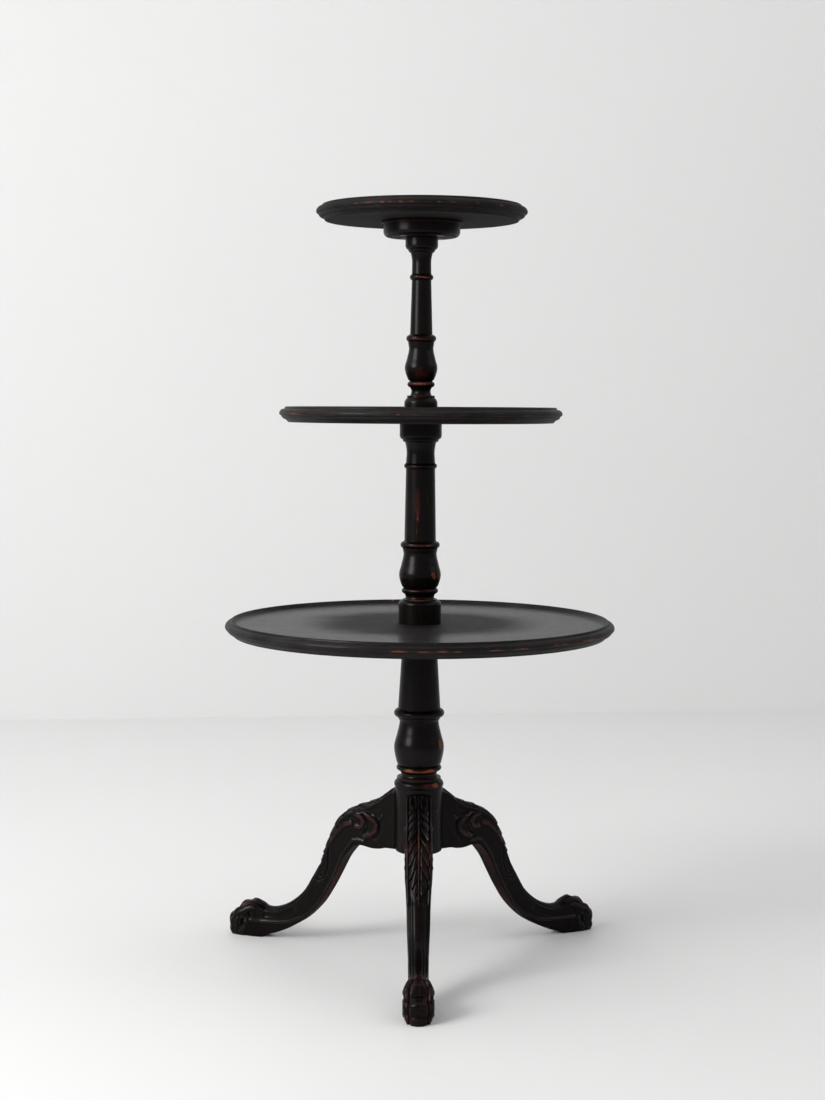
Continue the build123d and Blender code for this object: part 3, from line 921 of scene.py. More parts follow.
class ScrewSetter(Growth):
    """Sets one screw at each point of a mesh, each turned to where its driver left it."""

    SEED = 11

    def __init__(self) -> None:
        """Builds the tree."""
        inputs = [("Screw", "NodeSocketObject"), ("Material", "NodeSocketMaterial")]
        super().__init__("set_screws", inputs)
        points, screw, material = (self.start.outputs[index] for index in range(3))
        shape = self.node("GeometryNodeObjectInfo", None, {"Object": screw}).outputs["Geometry"]
        chance = {"Seed": self.SEED, 2: 0.0, 3: math.pi}
        turn = self.node("FunctionNodeRandomValue", {"data_type": "FLOAT"}, chance).outputs[1]
        rotation = self.out("ShaderNodeCombineXYZ", None, {2: turn})
        placed = self.out(
            "GeometryNodeInstanceOnPoints",
            None,
            {"Points": points, "Instance": shape, "Rotation": rotation},
        )
        self.close(placed, material)

    def set(self, name: str, places: Array, screw: Piece, material: Material) -> Piece:
        """Sets a group of screws.

        Args:
            name: The group's name.
            places: Where each screw's head stands, in millimetres.
            screw: The screw to repeat.
            material: Its finish.

        Returns:
            The group as one mesh.
        """
        seed = bpy.data.meshes.new(name + "_places")
        seed.from_pydata((places * MILLIMETRE).tolist(), [], [])
        return self.grow(name, seed, {"Screw": screw, "Material": material})


def carve(piece: Piece, cutter: Piece) -> None:
    """Cuts one closed mesh out of another and removes the cutter.

    Args:
        piece: The piece that is cut.
        cutter: What is cut away.
    """
    modifier = piece.modifiers.new("cut", "BOOLEAN")
    modifier.operation = "DIFFERENCE"
    modifier.solver = "EXACT"
    modifier.object = cutter
    mesh = run_modifiers(piece)
    piece.modifiers.remove(modifier)
    old = piece.data
    piece.data = mesh
    bpy.data.meshes.remove(old)
    bpy.data.objects.remove(cutter, do_unlink=True)


def stack_rings(work: bmesh.types.BMesh, levels: Sequence[Sequence[Sequence[float]]]) -> None:
    """Adds a closed stack of rings.

    Args:
        work: What it is added to.
        levels: Each ring's points in millimetres, from the lowest ring up.
    """
    rings = [[work.verts.new(Vector(point) * MILLIMETRE) for point in level] for level in levels]
    for low, high in zip(rings, rings[1:]):
        for i, corner in enumerate(low):
            j = (i + 1) % len(low)
            work.faces.new((corner, low[j], high[j], high[i]))
    work.faces.new(rings[0][::-1])
    work.faces.new(rings[-1])


def cutter_from(name: str, work: bmesh.types.BMesh) -> Piece:
    """Makes a closed cutter.

    Args:
        name: Its name.
        work: Its faces, which are handed over.

    Returns:
        The cutter.
    """
    mesh = bpy.data.meshes.new(name)
    work.to_mesh(mesh)
    work.free()
    face_outwards(mesh)
    return put(name, mesh)


ROUND_END_POINTS = 17


def stadium(start: Point, end: Point, radius: float, span: Point) -> Piece:
    """A round-ended bar to carve with.

    Args:
        start: The middle of one round end.
        end: The middle of the other.
        radius: The radius of both ends.
        span: The heights of its underside and its top.

    Returns:
        The bar.
    """
    heading = math.atan2(end[1] - start[1], end[0] - start[0])
    half = np.linspace(-math.pi / 2, math.pi / 2, ROUND_END_POINTS)
    rim = [
        (x + side * radius * math.cos(heading + a), y + side * radius * math.sin(heading + a))
        for (x, y), side in ((end, 1), (start, -1))
        for a in half
    ]
    work = bmesh.new()
    stack_rings(work, [[(x, y, z) for x, y in rim] for z in span])
    bmesh.ops.remove_doubles(work, verts=work.verts, dist=1e-6)
    return cutter_from("stadium", work)


DEEPEST_WEAR = 1.6  # the most that chips add up to


@dataclass(frozen=True)
class Chip:
    """A place where the black has been knocked or rubbed off a turned piece.

    It lies at an azimuth in degrees and a height in millimetres. Its size is half its width in
    millimetres, and tall is how many times as high as wide it is.
    """

    azimuth: float
    height: float
    size: float
    strength: float
    tall: float = 1.0


def wear_away(piece: Piece, chips: Sequence[Sequence[float]]) -> None:
    """Adds chips to a piece's rub attribute.

    Args:
        piece: The turned piece.
        chips: The values of each Chip, in its order.
    """
    mesh = piece.data
    count = len(mesh.vertices)
    places = np.zeros(count * 3)
    mesh.vertices.foreach_get("co", places)
    places = places.reshape(-1, 3) / MILLIMETRE
    rub = np.zeros(count)
    mesh.attributes["rub"].data.foreach_get("value", rub)
    radius = np.hypot(places[:, 0], places[:, 1])
    azimuth = np.arctan2(places[:, 1], places[:, 0])
    for chip in (Chip(*row) for row in chips):
        apart = (azimuth - math.radians(chip.azimuth) + math.pi) % (2 * math.pi) - math.pi
        across = apart * radius / chip.size
        along = (places[:, 2] - chip.height) / (chip.size * chip.tall)
        rub += chip.strength * np.exp(-(across**2) - along**2)
    mesh.attributes["rub"].data.foreach_set("value", np.clip(rub, 0.0, DEEPEST_WEAR))


# ---------------------------------------------------------------- turned pieces


@dataclass(frozen=True)
class Trays:
    """Where the trays stand and how their boards are worked."""

    lower_top: float = 518.5
    middle_top: float = 836.5
    top_top: float = 1134.0
    thickness: float = 23.0
    dish_depth: float = 6.0
    rim_width: float = 17.0
    recess_depth: float = 1.0
    recess_margin: float = 0.7

    def dish(self, top: float) -> float:
        """The height of the dish's floor."""
        return top - self.dish_depth

    def underside(self, top: float) -> float:
        """The height of the board's underside."""
        return top - self.thickness


TRAYS = Trays()
SEAT_GAP = 0.3  # the play under each column's plinth, in millimetres
# The levels of the lower, middle and upper column, as shares of the way from foot to head. The
# lower one has no astragal.
LEVELS: dict[str, tuple[float, float, float]] = {
    "shoulder": (0.020, 0.107, 0.059),
    "shoulder_top": (0.046, 0.115, 0.076),
    "fillet_top": (0.065, 0.121, 0.090),
    "scotia": (0.092, 0.134, 0.118),
    "ring_foot": (0.109, 0.150, 0.139),
    "ring_head": (0.140, 0.176, 0.171),
    "vase": (0.265, 0.243, 0.249),
    "vase_neck": (0.434, 0.351, 0.364),
    "shaft_ring_foot": (0.452, 0.372, 0.396),
    "shaft_ring_head": (0.519, 0.412, 0.443),
    "shaft_head": (0.826, 0.772, 0.755),
    "astragal_head": (0.826, 0.798, 0.789),
    "neck": (0.868, 0.846, 0.852),
    "cove_head": (0.896, 0.904, 0.915),
    "bead_head": (0.913, 0.918, 0.932),
    "ovolo_head": (0.935, 0.938, 0.954),
}
# Their radii, in millimetres
RADII: dict[str, tuple[float, float, float]] = {
    "shoulder": (37.4, 31.0, 24.1),
    "fillet": (33.2, 26.2, 20.7),
    "scotia": (27.3, 21.5, 14.5),
    "foot_ring": (34.1, 27.4, 20.4),
    "vase_foot": (30.8, 24.1, 16.2),
    "vase": (37.7, 31.4, 24.3),
    "vase_neck": (29.5, 24.8, 18.2),
    "shaft_ring": (38.0, 29.5, 22.3),
    "shaft_foot": (31.9, 23.7, 16.7),
    "shaft_head": (27.6, 21.8, 14.4),
    "astragal": (0.0, 24.7, 17.5),
    "neck": (27.0, 20.9, 14.2),
    "capital": (38.0, 31.5, 24.2),
}


@dataclass
class TurnedColumn:
    """One length of the stem: plinth or drum, foot ring, vase, ringed shaft and capital.

    The tier picks its numbers in LEVELS and RADII. The constants are shares of the way between
    the two radii or levels that meet there, and OUTLINE_STEP and RECESS_CUT are in millimetres.
    """

    SCOTIA_EDGE = 0.30
    RING_ROOT = 0.15
    BELLY = (0.48, 0.22)
    THROAT = (0.55, 0.50)
    RING_FILLET = 0.30
    BEAD_INSET = 0.11
    CAPITAL_STEPS = (0.25, 0.42, 0.60, 0.75)
    OUTLINE_STEP = 1.6
    RECESS_CUT = 6.0

    node: str
    foot: float
    head: float
    tier: int
    start: Sequence[Point]
    pin: Sequence[Point] = ()
    chips: Sequence[Sequence[float]] = ()
    drum_round: float = 0.0
    segments: int = 144
    recess: Sequence[tuple[Point, Point, float]] = ()
    recess_head: float = 0.0

    def outline(self) -> Outline:
        """The column's half outline, from the axis below to the axis above.

        Returns:
            The outline.
        """
        at = {name: between(self.foot, self.head, row[self.tier]) for name, row in LEVELS.items()}
        radii = {name: row[self.tier] for name, row in RADII.items()}
        outline = Outline(self.start[0])
        if self.drum_round:
            flat, edge = self.start[1], self.start[2]
            outline.line(flat).leave((edge[0], flat[1] + self.drum_round), (1, 0))
            outline.line(*self.start[2:])
        else:
            outline.line(*self.start[1:])
        step = radii["fillet"]
        scotia_edge = between(radii["scotia"], step, self.SCOTIA_EDGE)
        root = between(radii["vase_foot"], radii["foot_ring"], self.RING_ROOT)
        outline.arc((radii["shoulder"], at["shoulder"]), (step, at["shoulder_top"]))
        outline.line((step, at["fillet_top"]), (scotia_edge, at["fillet_top"]))
        outline.arc((radii["scotia"], at["scotia"]), (root, at["ring_foot"]))
        outline.ring(at["ring_foot"], at["ring_head"], root, radii["foot_ring"])
        outline.line((radii["vase_foot"], at["ring_head"]))
        belly = (
            between(radii["vase_foot"], radii["vase"], self.BELLY[0]),
            between(at["ring_head"], at["vase"], self.BELLY[1]),
        )
        throat = (
            between(radii["vase"], radii["vase_neck"], self.THROAT[0]),
            between(at["vase"], at["vase_neck"], self.THROAT[1]),
        )
        widest, neck = (radii["vase"], at["vase"]), (radii["vase_neck"], at["vase_neck"])
        outline.curve([belly, widest, throat, neck], (1, 1), (0, 1))
        fillet = between(radii["vase_neck"], radii["shaft_ring"], self.RING_FILLET)
        bead_foot = between(at["shaft_ring_foot"], at["shaft_ring_head"], self.BEAD_INSET)
        bead_head = between(at["shaft_ring_head"], at["shaft_ring_foot"], self.BEAD_INSET)
        outline.line((fillet, at["shaft_ring_foot"]))
        outline.ring(bead_foot, bead_head, fillet, radii["shaft_ring"])
        outline.line((radii["shaft_foot"], at["shaft_ring_head"]))
        outline.line((radii["shaft_head"], at["shaft_head"]))
        if radii["astragal"]:
            head = radii["shaft_head"]
            outline.ring(at["shaft_head"], at["astragal_head"], head, radii["astragal"])
        outline.line((radii["neck"], at["neck"]))
        cove, bead_in, bead_out, ovolo = (
            between(radii["neck"], radii["capital"], share) for share in self.CAPITAL_STEPS
        )
        outline.leave((cove, at["cove_head"]), (0, 1)).line((bead_in, at["cove_head"]))
        outline.meet((bead_out, at["bead_head"]), (0, -1)).line((ovolo, at["bead_head"]))
        outline.meet((radii["capital"], at["ovolo_head"]), (0, -1))
        top = self.pin[-1][1] if self.pin else self.head
        return outline.line((radii["capital"], self.head), *self.pin, (0, top))

    def build(self, lathe: Lathe, material: Material) -> Piece:
        """Turns the column in place of its node.

        Args:
            lathe: What turns it.
            material: Its finish.

        Returns:
            The piece.
        """
        profile = self.outline().profile(self.OUTLINE_STEP)
        piece = lathe.turn(self.node + "_turned", profile, self.segments, material)
        wear_away(piece, self.chips)
        cut = (self.recess_head - self.RECESS_CUT, self.recess_head)
        for start, end, radius in self.recess:
            carve(piece, stadium(start, end, radius, cut))
        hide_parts(self.node)
        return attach(piece, "stem")


@dataclass
class DishedTray:
    """One round tray: a dished board with a raised lip and a moulded edge.

    DULL_RIM is how plain the moulded rim is beside the rubbed middle, and EDGE_WEAR how far its
    outermost millimetres are rubbed. Each begins over the span named with it.
    """

    OUTLINE_STEP = 5.0
    DULL_RIM = 0.55
    DULL_SPAN = (-1.0, 3.0)
    EDGE_WEAR = 0.36
    EDGE_SPAN = (-5.0, -0.5)

    node: str
    body: str
    radius: float
    top: float
    bore: float = 0.0
    recess: float = 0.0
    segments: int = 288
    chips: Sequence[Sequence[float]] = ()

    def _at(self, inward: float, down: float) -> Point:
        """The point at these shares of the rim's width and of the board's thickness."""
        return (self.radius - TRAYS.rim_width * inward, self.top - TRAYS.thickness * down)

    def outline(self) -> Outline:
        """The tray's half outline, from its bore or the axis round and back.

        Returns:
            The outline.
        """
        floor, under = TRAYS.dish(self.top), TRAYS.underside(self.top)
        if self.recess:
            sunk = floor - TRAYS.recess_depth
            outline = Outline((self.bore, under)).line((self.bore, sunk), (self.recess, sunk))
            outline.line((self.recess, floor))
        else:
            outline = Outline((0.0, floor))
        outline.line((self.radius - TRAYS.rim_width, floor))
        outline.arc(self._at(0.86, 0.16), self._at(0.68, 0.02))
        outline.meet(self._at(0.59, 0.0), (-1, 0))
        outline.leave(self._at(0.50, 0.07), (1, 0))
        outline.line(self._at(0.44, 0.15))
        outline.meet(self._at(0.0, 0.44), (0, 1))
        outline.leave(self._at(0.09, 0.55), (0, -1))
        outline.line(self._at(0.18, 0.58))
        outline.arc(self._at(0.27, 0.72), self._at(0.47, 0.80))
        outline.arc(self._at(0.66, 0.90), self._at(0.76, 1.0))
        return outline.line((self.bore, under))

    def build(self, lathe: Lathe, material: Material) -> Piece:
        """Turns the tray in place of its node.

        Args:
            lathe: What turns it.
            material: Its finish.

        Returns:
            The piece.
        """
        profile = self.outline().profile(self.OUTLINE_STEP)
        reach = profile.points[:, 0]
        rim = self.radius - TRAYS.rim_width
        dull = smooth_step(*(rim + place for place in self.DULL_SPAN), reach)
        worn = smooth_step(*(self.radius + place for place in self.EDGE_SPAN), reach)
        profile.plain = np.maximum(profile.plain, self.DULL_RIM * dull)
        profile.rub += self.EDGE_WEAR * worn
        piece = lathe.turn(self.node + "_dished", profile, self.segments, material)
        wear_away(piece, self.chips)
        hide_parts(self.node)
        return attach(piece, self.body)


@dataclass
class TrayBlock:
    """The turned disc under the top tray, bored for the pin and countersunk for four screws."""

    HOLE_SIDES = 24
    CUT_PAST = 1.0
    FIRST_SCREW = 45.0
    OUTLINE_STEP = 3.0
    SEGMENTS = 144

    radius: float = 57.0
    lip_radius: float = 59.5
    lip_height: float = 4.5
    foot_radius: float = 50.0
    foot_round: float = 8.0
    height: float = 24.0
    pin_bore: float = 10.08
    pin_depth: float = 20.6
    screw_circle: float = 38.0
    screw_count: int = 4
    screw_radius: float = 2.25
    head_radius: float = 4.65

    def underside(self) -> float:
        """The height of the disc's underside."""
        return TRAYS.underside(TRAYS.top_top) - self.height

    def screw_places(self) -> Array:
        """Where the four screws' heads stand, in millimetres.

        Returns:
            One row for each screw.
        """
        turns = np.arange(self.screw_count) * 2 * math.pi / self.screw_count
        angles = math.radians(self.FIRST_SCREW) + turns
        x, y = self.screw_circle * np.cos(angles), self.screw_circle * np.sin(angles)
        return np.stack([x, y, np.full(self.screw_count, self.underside())], 1)

    def _countersinks(self) -> Piece:
        """The four screw holes as one cutter.

        Returns:
            The cutter.
        """
        work = bmesh.new()
        rings = (
            (-self.CUT_PAST, self.head_radius + self.CUT_PAST),
            (self.head_radius - self.screw_radius, self.screw_radius),
            (self.height + self.CUT_PAST, self.screw_radius),
        )
        angles = np.arange(self.HOLE_SIDES) * 2 * math.pi / self.HOLE_SIDES
        for x, y, z in self.screw_places():
            levels = [
                [(x + radius * math.cos(a), y + radius * math.sin(a), z + lift) for a in angles]
                for lift, radius in rings
            ]
            stack_rings(work, levels)
        return cutter_from("countersinks", work)

    def build(self, lathe: Lathe, material: Material) -> Piece:
        """Turns and bores the disc in place of its node.

        Args:
            lathe: What turns it.
            material: Its finish.

        Returns:
            The piece.
        """
        foot, head = self.underside(), TRAYS.underside(TRAYS.top_top)
        outline = Outline((0.0, foot + self.pin_depth)).line(
            (self.pin_bore, foot + self.pin_depth), (self.pin_bore, foot), (self.foot_radius, foot)
        )
        outline.meet((self.radius, foot + self.foot_round), (0, -1))
        outline.line(
            (self.radius, head - self.lip_height),
            (self.lip_radius, head - self.lip_height),
            (self.lip_radius, head),
            (0.0, head),
        )
        profile = outline.profile(self.OUTLINE_STEP)
        piece = lathe.turn("top_tray_block_turned", profile, self.SEGMENTS, material)
        carve(piece, self._countersinks())
        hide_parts("top_tray_block")
        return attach(piece, "top_turntable")


@dataclass
class WoodScrew:
    """A slotted countersunk wood screw that points up, its head at its own foot."""

    ARRIS = 0.15
    OUTLINE_STEP = 6.0
    SEGMENTS = 28

    radius: float
    head_radius: float
    length: float
    slot_width: float = 1.0
    slot_depth: float = 0.8

    def build(self, lathe: Lathe, material: Material) -> Piece:
        """Turns one screw and cuts its slot.

        Args:
            lathe: What turns it.
            material: Its finish.

        Returns:
            The screw, for ScrewSetter to repeat.
        """
        cone = self.head_radius - self.radius
        outline = Outline((0.0, 0.0)).line(
            (self.head_radius, 0.0),
            (self.radius, cone),
            (self.radius, self.length - 2 * self.radius),
            (0.0, self.length),
        )
        outline.ARRIS = self.ARRIS
        profile = outline.profile(self.OUTLINE_STEP)
        piece = lathe.turn("wood_screw", profile, self.SEGMENTS, material)
        work = bmesh.new()
        bmesh.ops.create_cube(work, size=1.0)
        size = Vector((3 * self.head_radius, self.slot_width, 2 * self.slot_depth)) * MILLIMETRE
        bmesh.ops.scale(work, vec=size, verts=work.verts)
        carve(piece, cutter_from("screw_slot", work))
        return piece


# ---------------------------------------------------------------- the carved leg


@dataclass
class LegCarver:
    """Carves one leg that points along +X: knee with leaf and scrolls, moulded shin, paw foot.

    The carving is placed by three numbers that each point of the leg's grid has: along, the
    distance down the crown in millimetres; over, from 1 to -1 across the crown; and climb, from 0
    at the bottom of a side to 1 at its top. OFF_CROWN, BELOW and ABOVE mark the points elsewhere.
    """

    OFF_CROWN = 9.0
    BELOW = -1.0
    ABOVE = 2.0
    CROWN_RISE = 7.0
    CLEAR_OF_SIDES = 0.05
    CLEAR_OF_TOES = 0.3
    GRID = 0.5
    PACE_AT = (0, 15, 190, 215, 300, 325, 345, 999)
    PACE = (2, 0.8, 0.8, 1.5, 1.5, 1, 0.7, 0.7)
    # Where each thing starts or ends, as the two ends of a soft step down the crown
    CARVED_FROM = (4.0, 9.0)
    LEAF_FROM = (6.0, 12.0)
    SCROLL_TO = (34.0, 42.0)
    BELLY_FROM = (60.0, 110.0)
    TIPS_FROM = (96.0, 112.0)
    TIPS_TO = (172.0, 186.0)
    SHIN_TO = (305.0, 335.0)
    PAW_FROM = (330.0, 350.0)
    JOINTS_FROM = (338.0, 356.0)
    PAW_WORN_FROM = (338.0, 360.0)
    TOES_SPREAD = (345.0, 386.0)
    # Rubbed patches of the crown: middle and length down the crown, and how worn
    MIDRIB_WORN = (114.0, 36.0, 0.5)
    LEAF_WORN = (125.0, 36.0, 0.30)
    SHIN_WORN = (235.0, 60.0, 0.36)
    PAW_WORN = 0.38
    BELLY_WORN = 0.52
    # The leaf: its field's edge, its half width and its lobes, as shares of the crown's half width
    FIELD = 0.80
    LEAF_WIDTH = 0.60
    LOBE_DEPTH = 0.17
    TIP_LENGTH = 34.0
    LEAF_RISE = 2.5
    # The toes: place and length of each bump down the crown, and its height
    INNER_TOE = ((352, 8, 2.8), (374, 6.5, 3.9), (388, 4, -1.6), (405, 7, 3.4), (418, 3.5, -2.0))
    OUTER_TOE = ((362, 8, 2.8), (372, 4, -1.2), (384, 8, 2.4), (398, 4, -1.8), (411, 7, -4.0))

    drum_radius: float = 36.0
    seat: float = 30.69
    reach: float = 330.0
    rise: float = 262.0
    underside: float = 167.5
    width: float = 37.5
    ankle: float = 25.0
    paw: float = 44.5
    leaf_end: float = 198.0
    leaf_pitch: float = 20.5
    tip_pitch: float = 15.5
    leaf_slant: float = 2.1
    bottom_columns: int = 12
    side_columns: int = 46
    crown_columns: int = 84
    knee: Sequence[tuple[Point, Point]] = (
        ((0.0324, 0.639), (0.0336, 0.966)),
        ((0.0717, 0.630), (0.0852, 0.920)),
        ((0.1144, 0.628), (0.1413, 0.887)),
        ((0.1750, 0.638), (0.2154, 0.857)),
        ((0.2289, 0.622), (0.3164, 0.786)),
    )
    shin: Sequence[tuple[Point, Point]] = (
        ((0.2715, 0.571), (0.3647, 0.691)),
        ((0.3030, 0.517), (0.4085, 0.578)),
        ((0.3378, 0.439), (0.4365, 0.504)),
        ((0.3883, 0.334), (0.4870, 0.403)),
        ((0.4534, 0.225), (0.5409, 0.309)),
        ((0.5297, 0.141), (0.5948, 0.252)),
        ((0.6184, 0.078), (0.6610, 0.206)),
        ((0.7014, 0.036), (0.7250, 0.185)),
    )
    shin_widths: Sequence[float] = (0.98, 0.81, 0.68, 0.57, 0.40, 0.25, 0.13, 0.0)
    # Foot: low point, high point, half widths at sole, middle and shoulder, crown rise
    foot: Sequence[tuple[Point, Point, float, float, float, float]] = (
        ((257.0, 4.5), (262.0, 49.0), 9.5, 12.8, 11.5, 5.5),
        ((266.0, 0.0), (272.0, 52.5), 12.0, 14.0, 12.4, 5.0),
        ((272.0, 0.0), (283.0, 54.0), 14.0, 16.0, 14.2, 4.5),
        ((278.0, 0.0), (293.0, 52.0), 15.2, 18.6, 17.0, 4.5),
        ((283.0, 0.0), (304.0, 46.0), 16.0, 20.4, 19.4, 5.0),
        ((287.0, 0.0), (314.0, 38.5), 16.4, 21.4, 20.2, 6.0),
        ((290.0, 0.0), (322.5, 29.0), 16.4, 21.4, 19.8, 7.5),
        ((292.5, 0.0), (327.0, 18.0), 16.2, 20.6, 18.2, 9.5),
        ((294.0, 0.0), (328.0, 8.0), 16.6, 19.4, 17.6, 10.5),
        ((294.5, 0.0), (326.0, 0.0), 16.8, 18.2, 15.6, 10.5),
    )
    # Carved lines on the sides: points in the side view, width, height, how worn
    strokes: Sequence[tuple[Sequence[Point], float, float, float]] = (
        (((108, 209), (90, 219), (74, 224), (60, 230)), 2.4, -1.0, 0.0),
        (((100, 217), (84.3, 217.9), (76.4, 215.6), (67.3, 214.8), (58.1, 210.3), (52.9, 216.2)),
         1.4, 1.2, 0.0),
        (((101, 216.5), (94.9, 213.8), (88.4, 210.8), (84.9, 204.5), (87, 197.8), (90.9, 195.1),
          (97, 196)), 2.6, 1.9, 0.5),
        (((85, 215.2), (78.1, 207.3), (77.2, 196.6), (84.9, 186.5)), 2.3, -1.8, 0.0),
        (((80, 216), (73.9, 212.3), (66.4, 207.7), (62.8, 201), (64.5, 192.9), (72.4, 185.6),
          (82, 182)), 2.9, 2.0, 0.42),
        (((62, 212), (57, 205), (56.2, 197), (58.5, 188), (66, 180)), 2.2, -1.6, 0.0),
        (((106, 200), (116.1, 196.1), (123.5, 190), (130.8, 181.3), (136.8, 174.1), (141.7, 168.2)),
         2.8, 1.8, 0.55),
        (((84, 174), (94, 175.2), (103, 174), (106, 170.4), (113.9, 159.9), (122, 147),
          (130.1, 129.2), (139.2, 108.5), (151.4, 88.3), (166, 66), (180, 51), (193.7, 41.5),
          (216, 30.9), (235.5, 27.6), (250.1, 26.3), (264.9, 25.8), (274.8, 26.3), (282.7, 26.9)),
         1.9, 1.8, 0.0),
        (((100, 167), (109, 155), (117.5, 142), (125.5, 124.5), (134.5, 103.5), (146.5, 83)),
         1.8, -0.9, 0.0),
        (((142, 172), (144.7, 159), (146.1, 146.7), (146.6, 132.2), (149.2, 119.7), (154.1, 109.4),
          (162.3, 104.8), (165.5, 108)), 1.7, -2.0, 0.0),
        (((157, 113.5), (159.5, 111)), 1.8, -1.8, 0.0),
        (((266, 46.0), (259, 44.4), (245.2, 45.6), (235.4, 48.1), (225.7, 53.2), (211.1, 61.9)),
         2.2, 1.9, 0.0),
        (((260, 36), (245, 36.5), (228, 41), (210, 49)), 5.0, -1.6, 0.0),
        (((304, 38.5), (289.6, 42.1), (280.7, 45.8)), 2.2, 1.8, 0.1),
        (((302.5, 35.2), (303.5, 28.1), (304.5, 20.9), (302.5, 14.1)), 1.8, -2.2, 0.2),
        (((297.5, 26.0), (296.2, 19.0)), 3.2, -3.4, 0.0),
        (((287, 38), (285.1, 33.0)), 2.4, -2.6, 0.0),
        (((290.5, 24.0), (294.0, 14.0), (299.0, 7.0)), 2.6, 1.8, 0.1),
        (((317.5, 24.6), (309.5, 28.2), (305.5, 33.1)), 1.3, -1.6, 0.0),
        (((317.5, 18.4), (314.5, 14.4), (311.5, 10.3)), 1.2, -1.3, 0.0),
    )
    columns: dict[str, Array] = field(default_factory=dict)

    def _at(self, shares: Point) -> Point:
        """The point of the side view at these shares of the way to the toes and of the rise."""
        return (between(self.drum_radius, self.reach, shares[0]), self.rise * shares[1])

    def _stations(self) -> Array:
        """The leg's sections, from the drum to the toes.

        Returns:
            Each one's low x and z, high x and z, half widths at sole, middle and shoulder, and
            crown rise.
        """
        half, rise = self.width / 2, self.CROWN_RISE
        full = (half, half, half, rise)
        rows = [
            (self.seat, self.underside, self.seat, self.rise, *full),
            (self.drum_radius, self.underside, self.drum_radius, self.rise - 2.5, *full),
        ]
        rows += [(*self._at(low), *self._at(high), *full) for low, high in self.knee]
        for (low, high), share in zip(self.shin, self.shin_widths):
            wide = between(self.ankle, self.width, share) / 2
            under = between(0.72, 1.0, share**0.5) * wide
            rows.append((*self._at(low), *self._at(high), under, wide, wide, rise))
        rows += [(*low, *high, *rest) for low, high, *rest in self.foot]
        return np.array(rows, float)

    def _smooth_rows(self, knots: Array, at: Array, rows: Array) -> Array:
        """Reads rows of numbers between knots along smooth curves.

        Args:
            knots: Where each given row stands.
            at: Where rows are wanted.
            rows: The given rows.

        Returns:
            One row for each place in at.
        """
        slopes = np.gradient(rows, knots, axis=0)
        index = np.clip(np.searchsorted(knots, at, side="right") - 1, 0, len(knots) - 2)
        span = (knots[index + 1] - knots[index])[:, None]
        share = (at - knots[index])[:, None] / span
        ends, bends = (rows[index], rows[index + 1]), (slopes[index], slopes[index + 1])
        return smooth_curve(share, span, ends, bends)

    def _bulge(self, share: Array, sole: Array, middle: Array, shoulder: Array) -> Array:
        """The half width at that share of the way up a side, through its three half widths."""
        low, high = sole * (1 - share) * (1 - 2 * share), shoulder * share * (2 * share - 1)
        return low + 4 * middle * share * (1 - share) + high

    def _lay_out(self) -> None:
        """Lays out the plain leg's grid: places, and where each point lies on its section."""
        stations = self._stations()
        steps = np.hypot(np.diff(stations[:, 2]), np.diff(stations[:, 3])) + 1e-6
        knots = np.concatenate([[0.0], np.cumsum(steps)])
        even = np.arange(0.0, knots[-1], self.GRID)
        pace = np.interp(even, self.PACE_AT, self.PACE)
        travelled = np.concatenate([[0.0], np.cumsum(self.GRID / pace)])
        marks = np.concatenate([even, [knots[-1]]])
        count = int(travelled[-1])
        along = np.interp(np.linspace(0.0, travelled[-1], count), travelled, marks)
        rows = self._smooth_rows(knots, along, stations)
        low, high = rows[:, 0:2], rows[:, 2:4]
        sole, middle, shoulder, crown = (rows[:, i : i + 1] for i in (4, 5, 6, 7))
        tall = np.maximum(np.hypot(*(high - low).T), 1e-6)[:, None]
        up = (high - low) / tall
        wall = tall - crown
        bottom = np.linspace(-1.0, 1.0, self.bottom_columns, endpoint=False)
        climb = np.linspace(0.0, 1.0, self.side_columns, endpoint=False)
        over = np.linspace(1.0, -1.0, self.crown_columns, endpoint=False)
        down = 1.0 - climb
        flank = self._bulge(climb, sole, middle, shoulder)
        drop = self._bulge(down, sole, middle, shoulder)
        under = np.zeros((count, self.bottom_columns))
        across = np.concatenate([sole * bottom, flank, shoulder * over, -drop], axis=1)
        height = np.concatenate([under, wall * climb, tall - crown * over**2, wall * down], axis=1)
        on_side = np.full(self.side_columns, self.OFF_CROWN)
        on_bottom = np.full(self.bottom_columns, self.OFF_CROWN)
        below = np.full(self.bottom_columns, self.BELOW)
        above = np.full(self.crown_columns, self.ABOVE)
        columns = across.shape[1]
        self.columns = {
            "x": low[:, 0:1] + up[:, 0:1] * height,
            "y": across,
            "z": low[:, 1:2] + up[:, 1:2] * height,
            "along": along[:, None].repeat(columns, 1),
            "over": np.tile(np.concatenate([on_bottom, on_side, over, on_side]), (count, 1)),
            "climb": np.tile(np.concatenate([below, climb, above, down]), (count, 1)),
            "shoulder": shoulder.repeat(columns, 1),
            "rise_x": up[:, 0:1].repeat(columns, 1),
            "rise_z": up[:, 1:2].repeat(columns, 1),
        }

    def _normals(self) -> Array:
        """The plain leg's outward directions, one for each point of the grid.

        Returns:
            The directions.
        """
        place = np.stack([self.columns[key] for key in "xyz"], 2)
        ahead = np.gradient(place, axis=0)
        round_ = np.roll(place, -1, 1) - np.roll(place, 1, 1)
        normal = np.cross(round_, ahead)
        length = np.linalg.norm(normal, axis=2, keepdims=True)
        normal = normal / np.maximum(length, 1e-9)
        middle = place.mean(1, keepdims=True)
        if float(((place - middle) * normal).sum(2).mean()) < 0:
            normal = -normal
        return normal

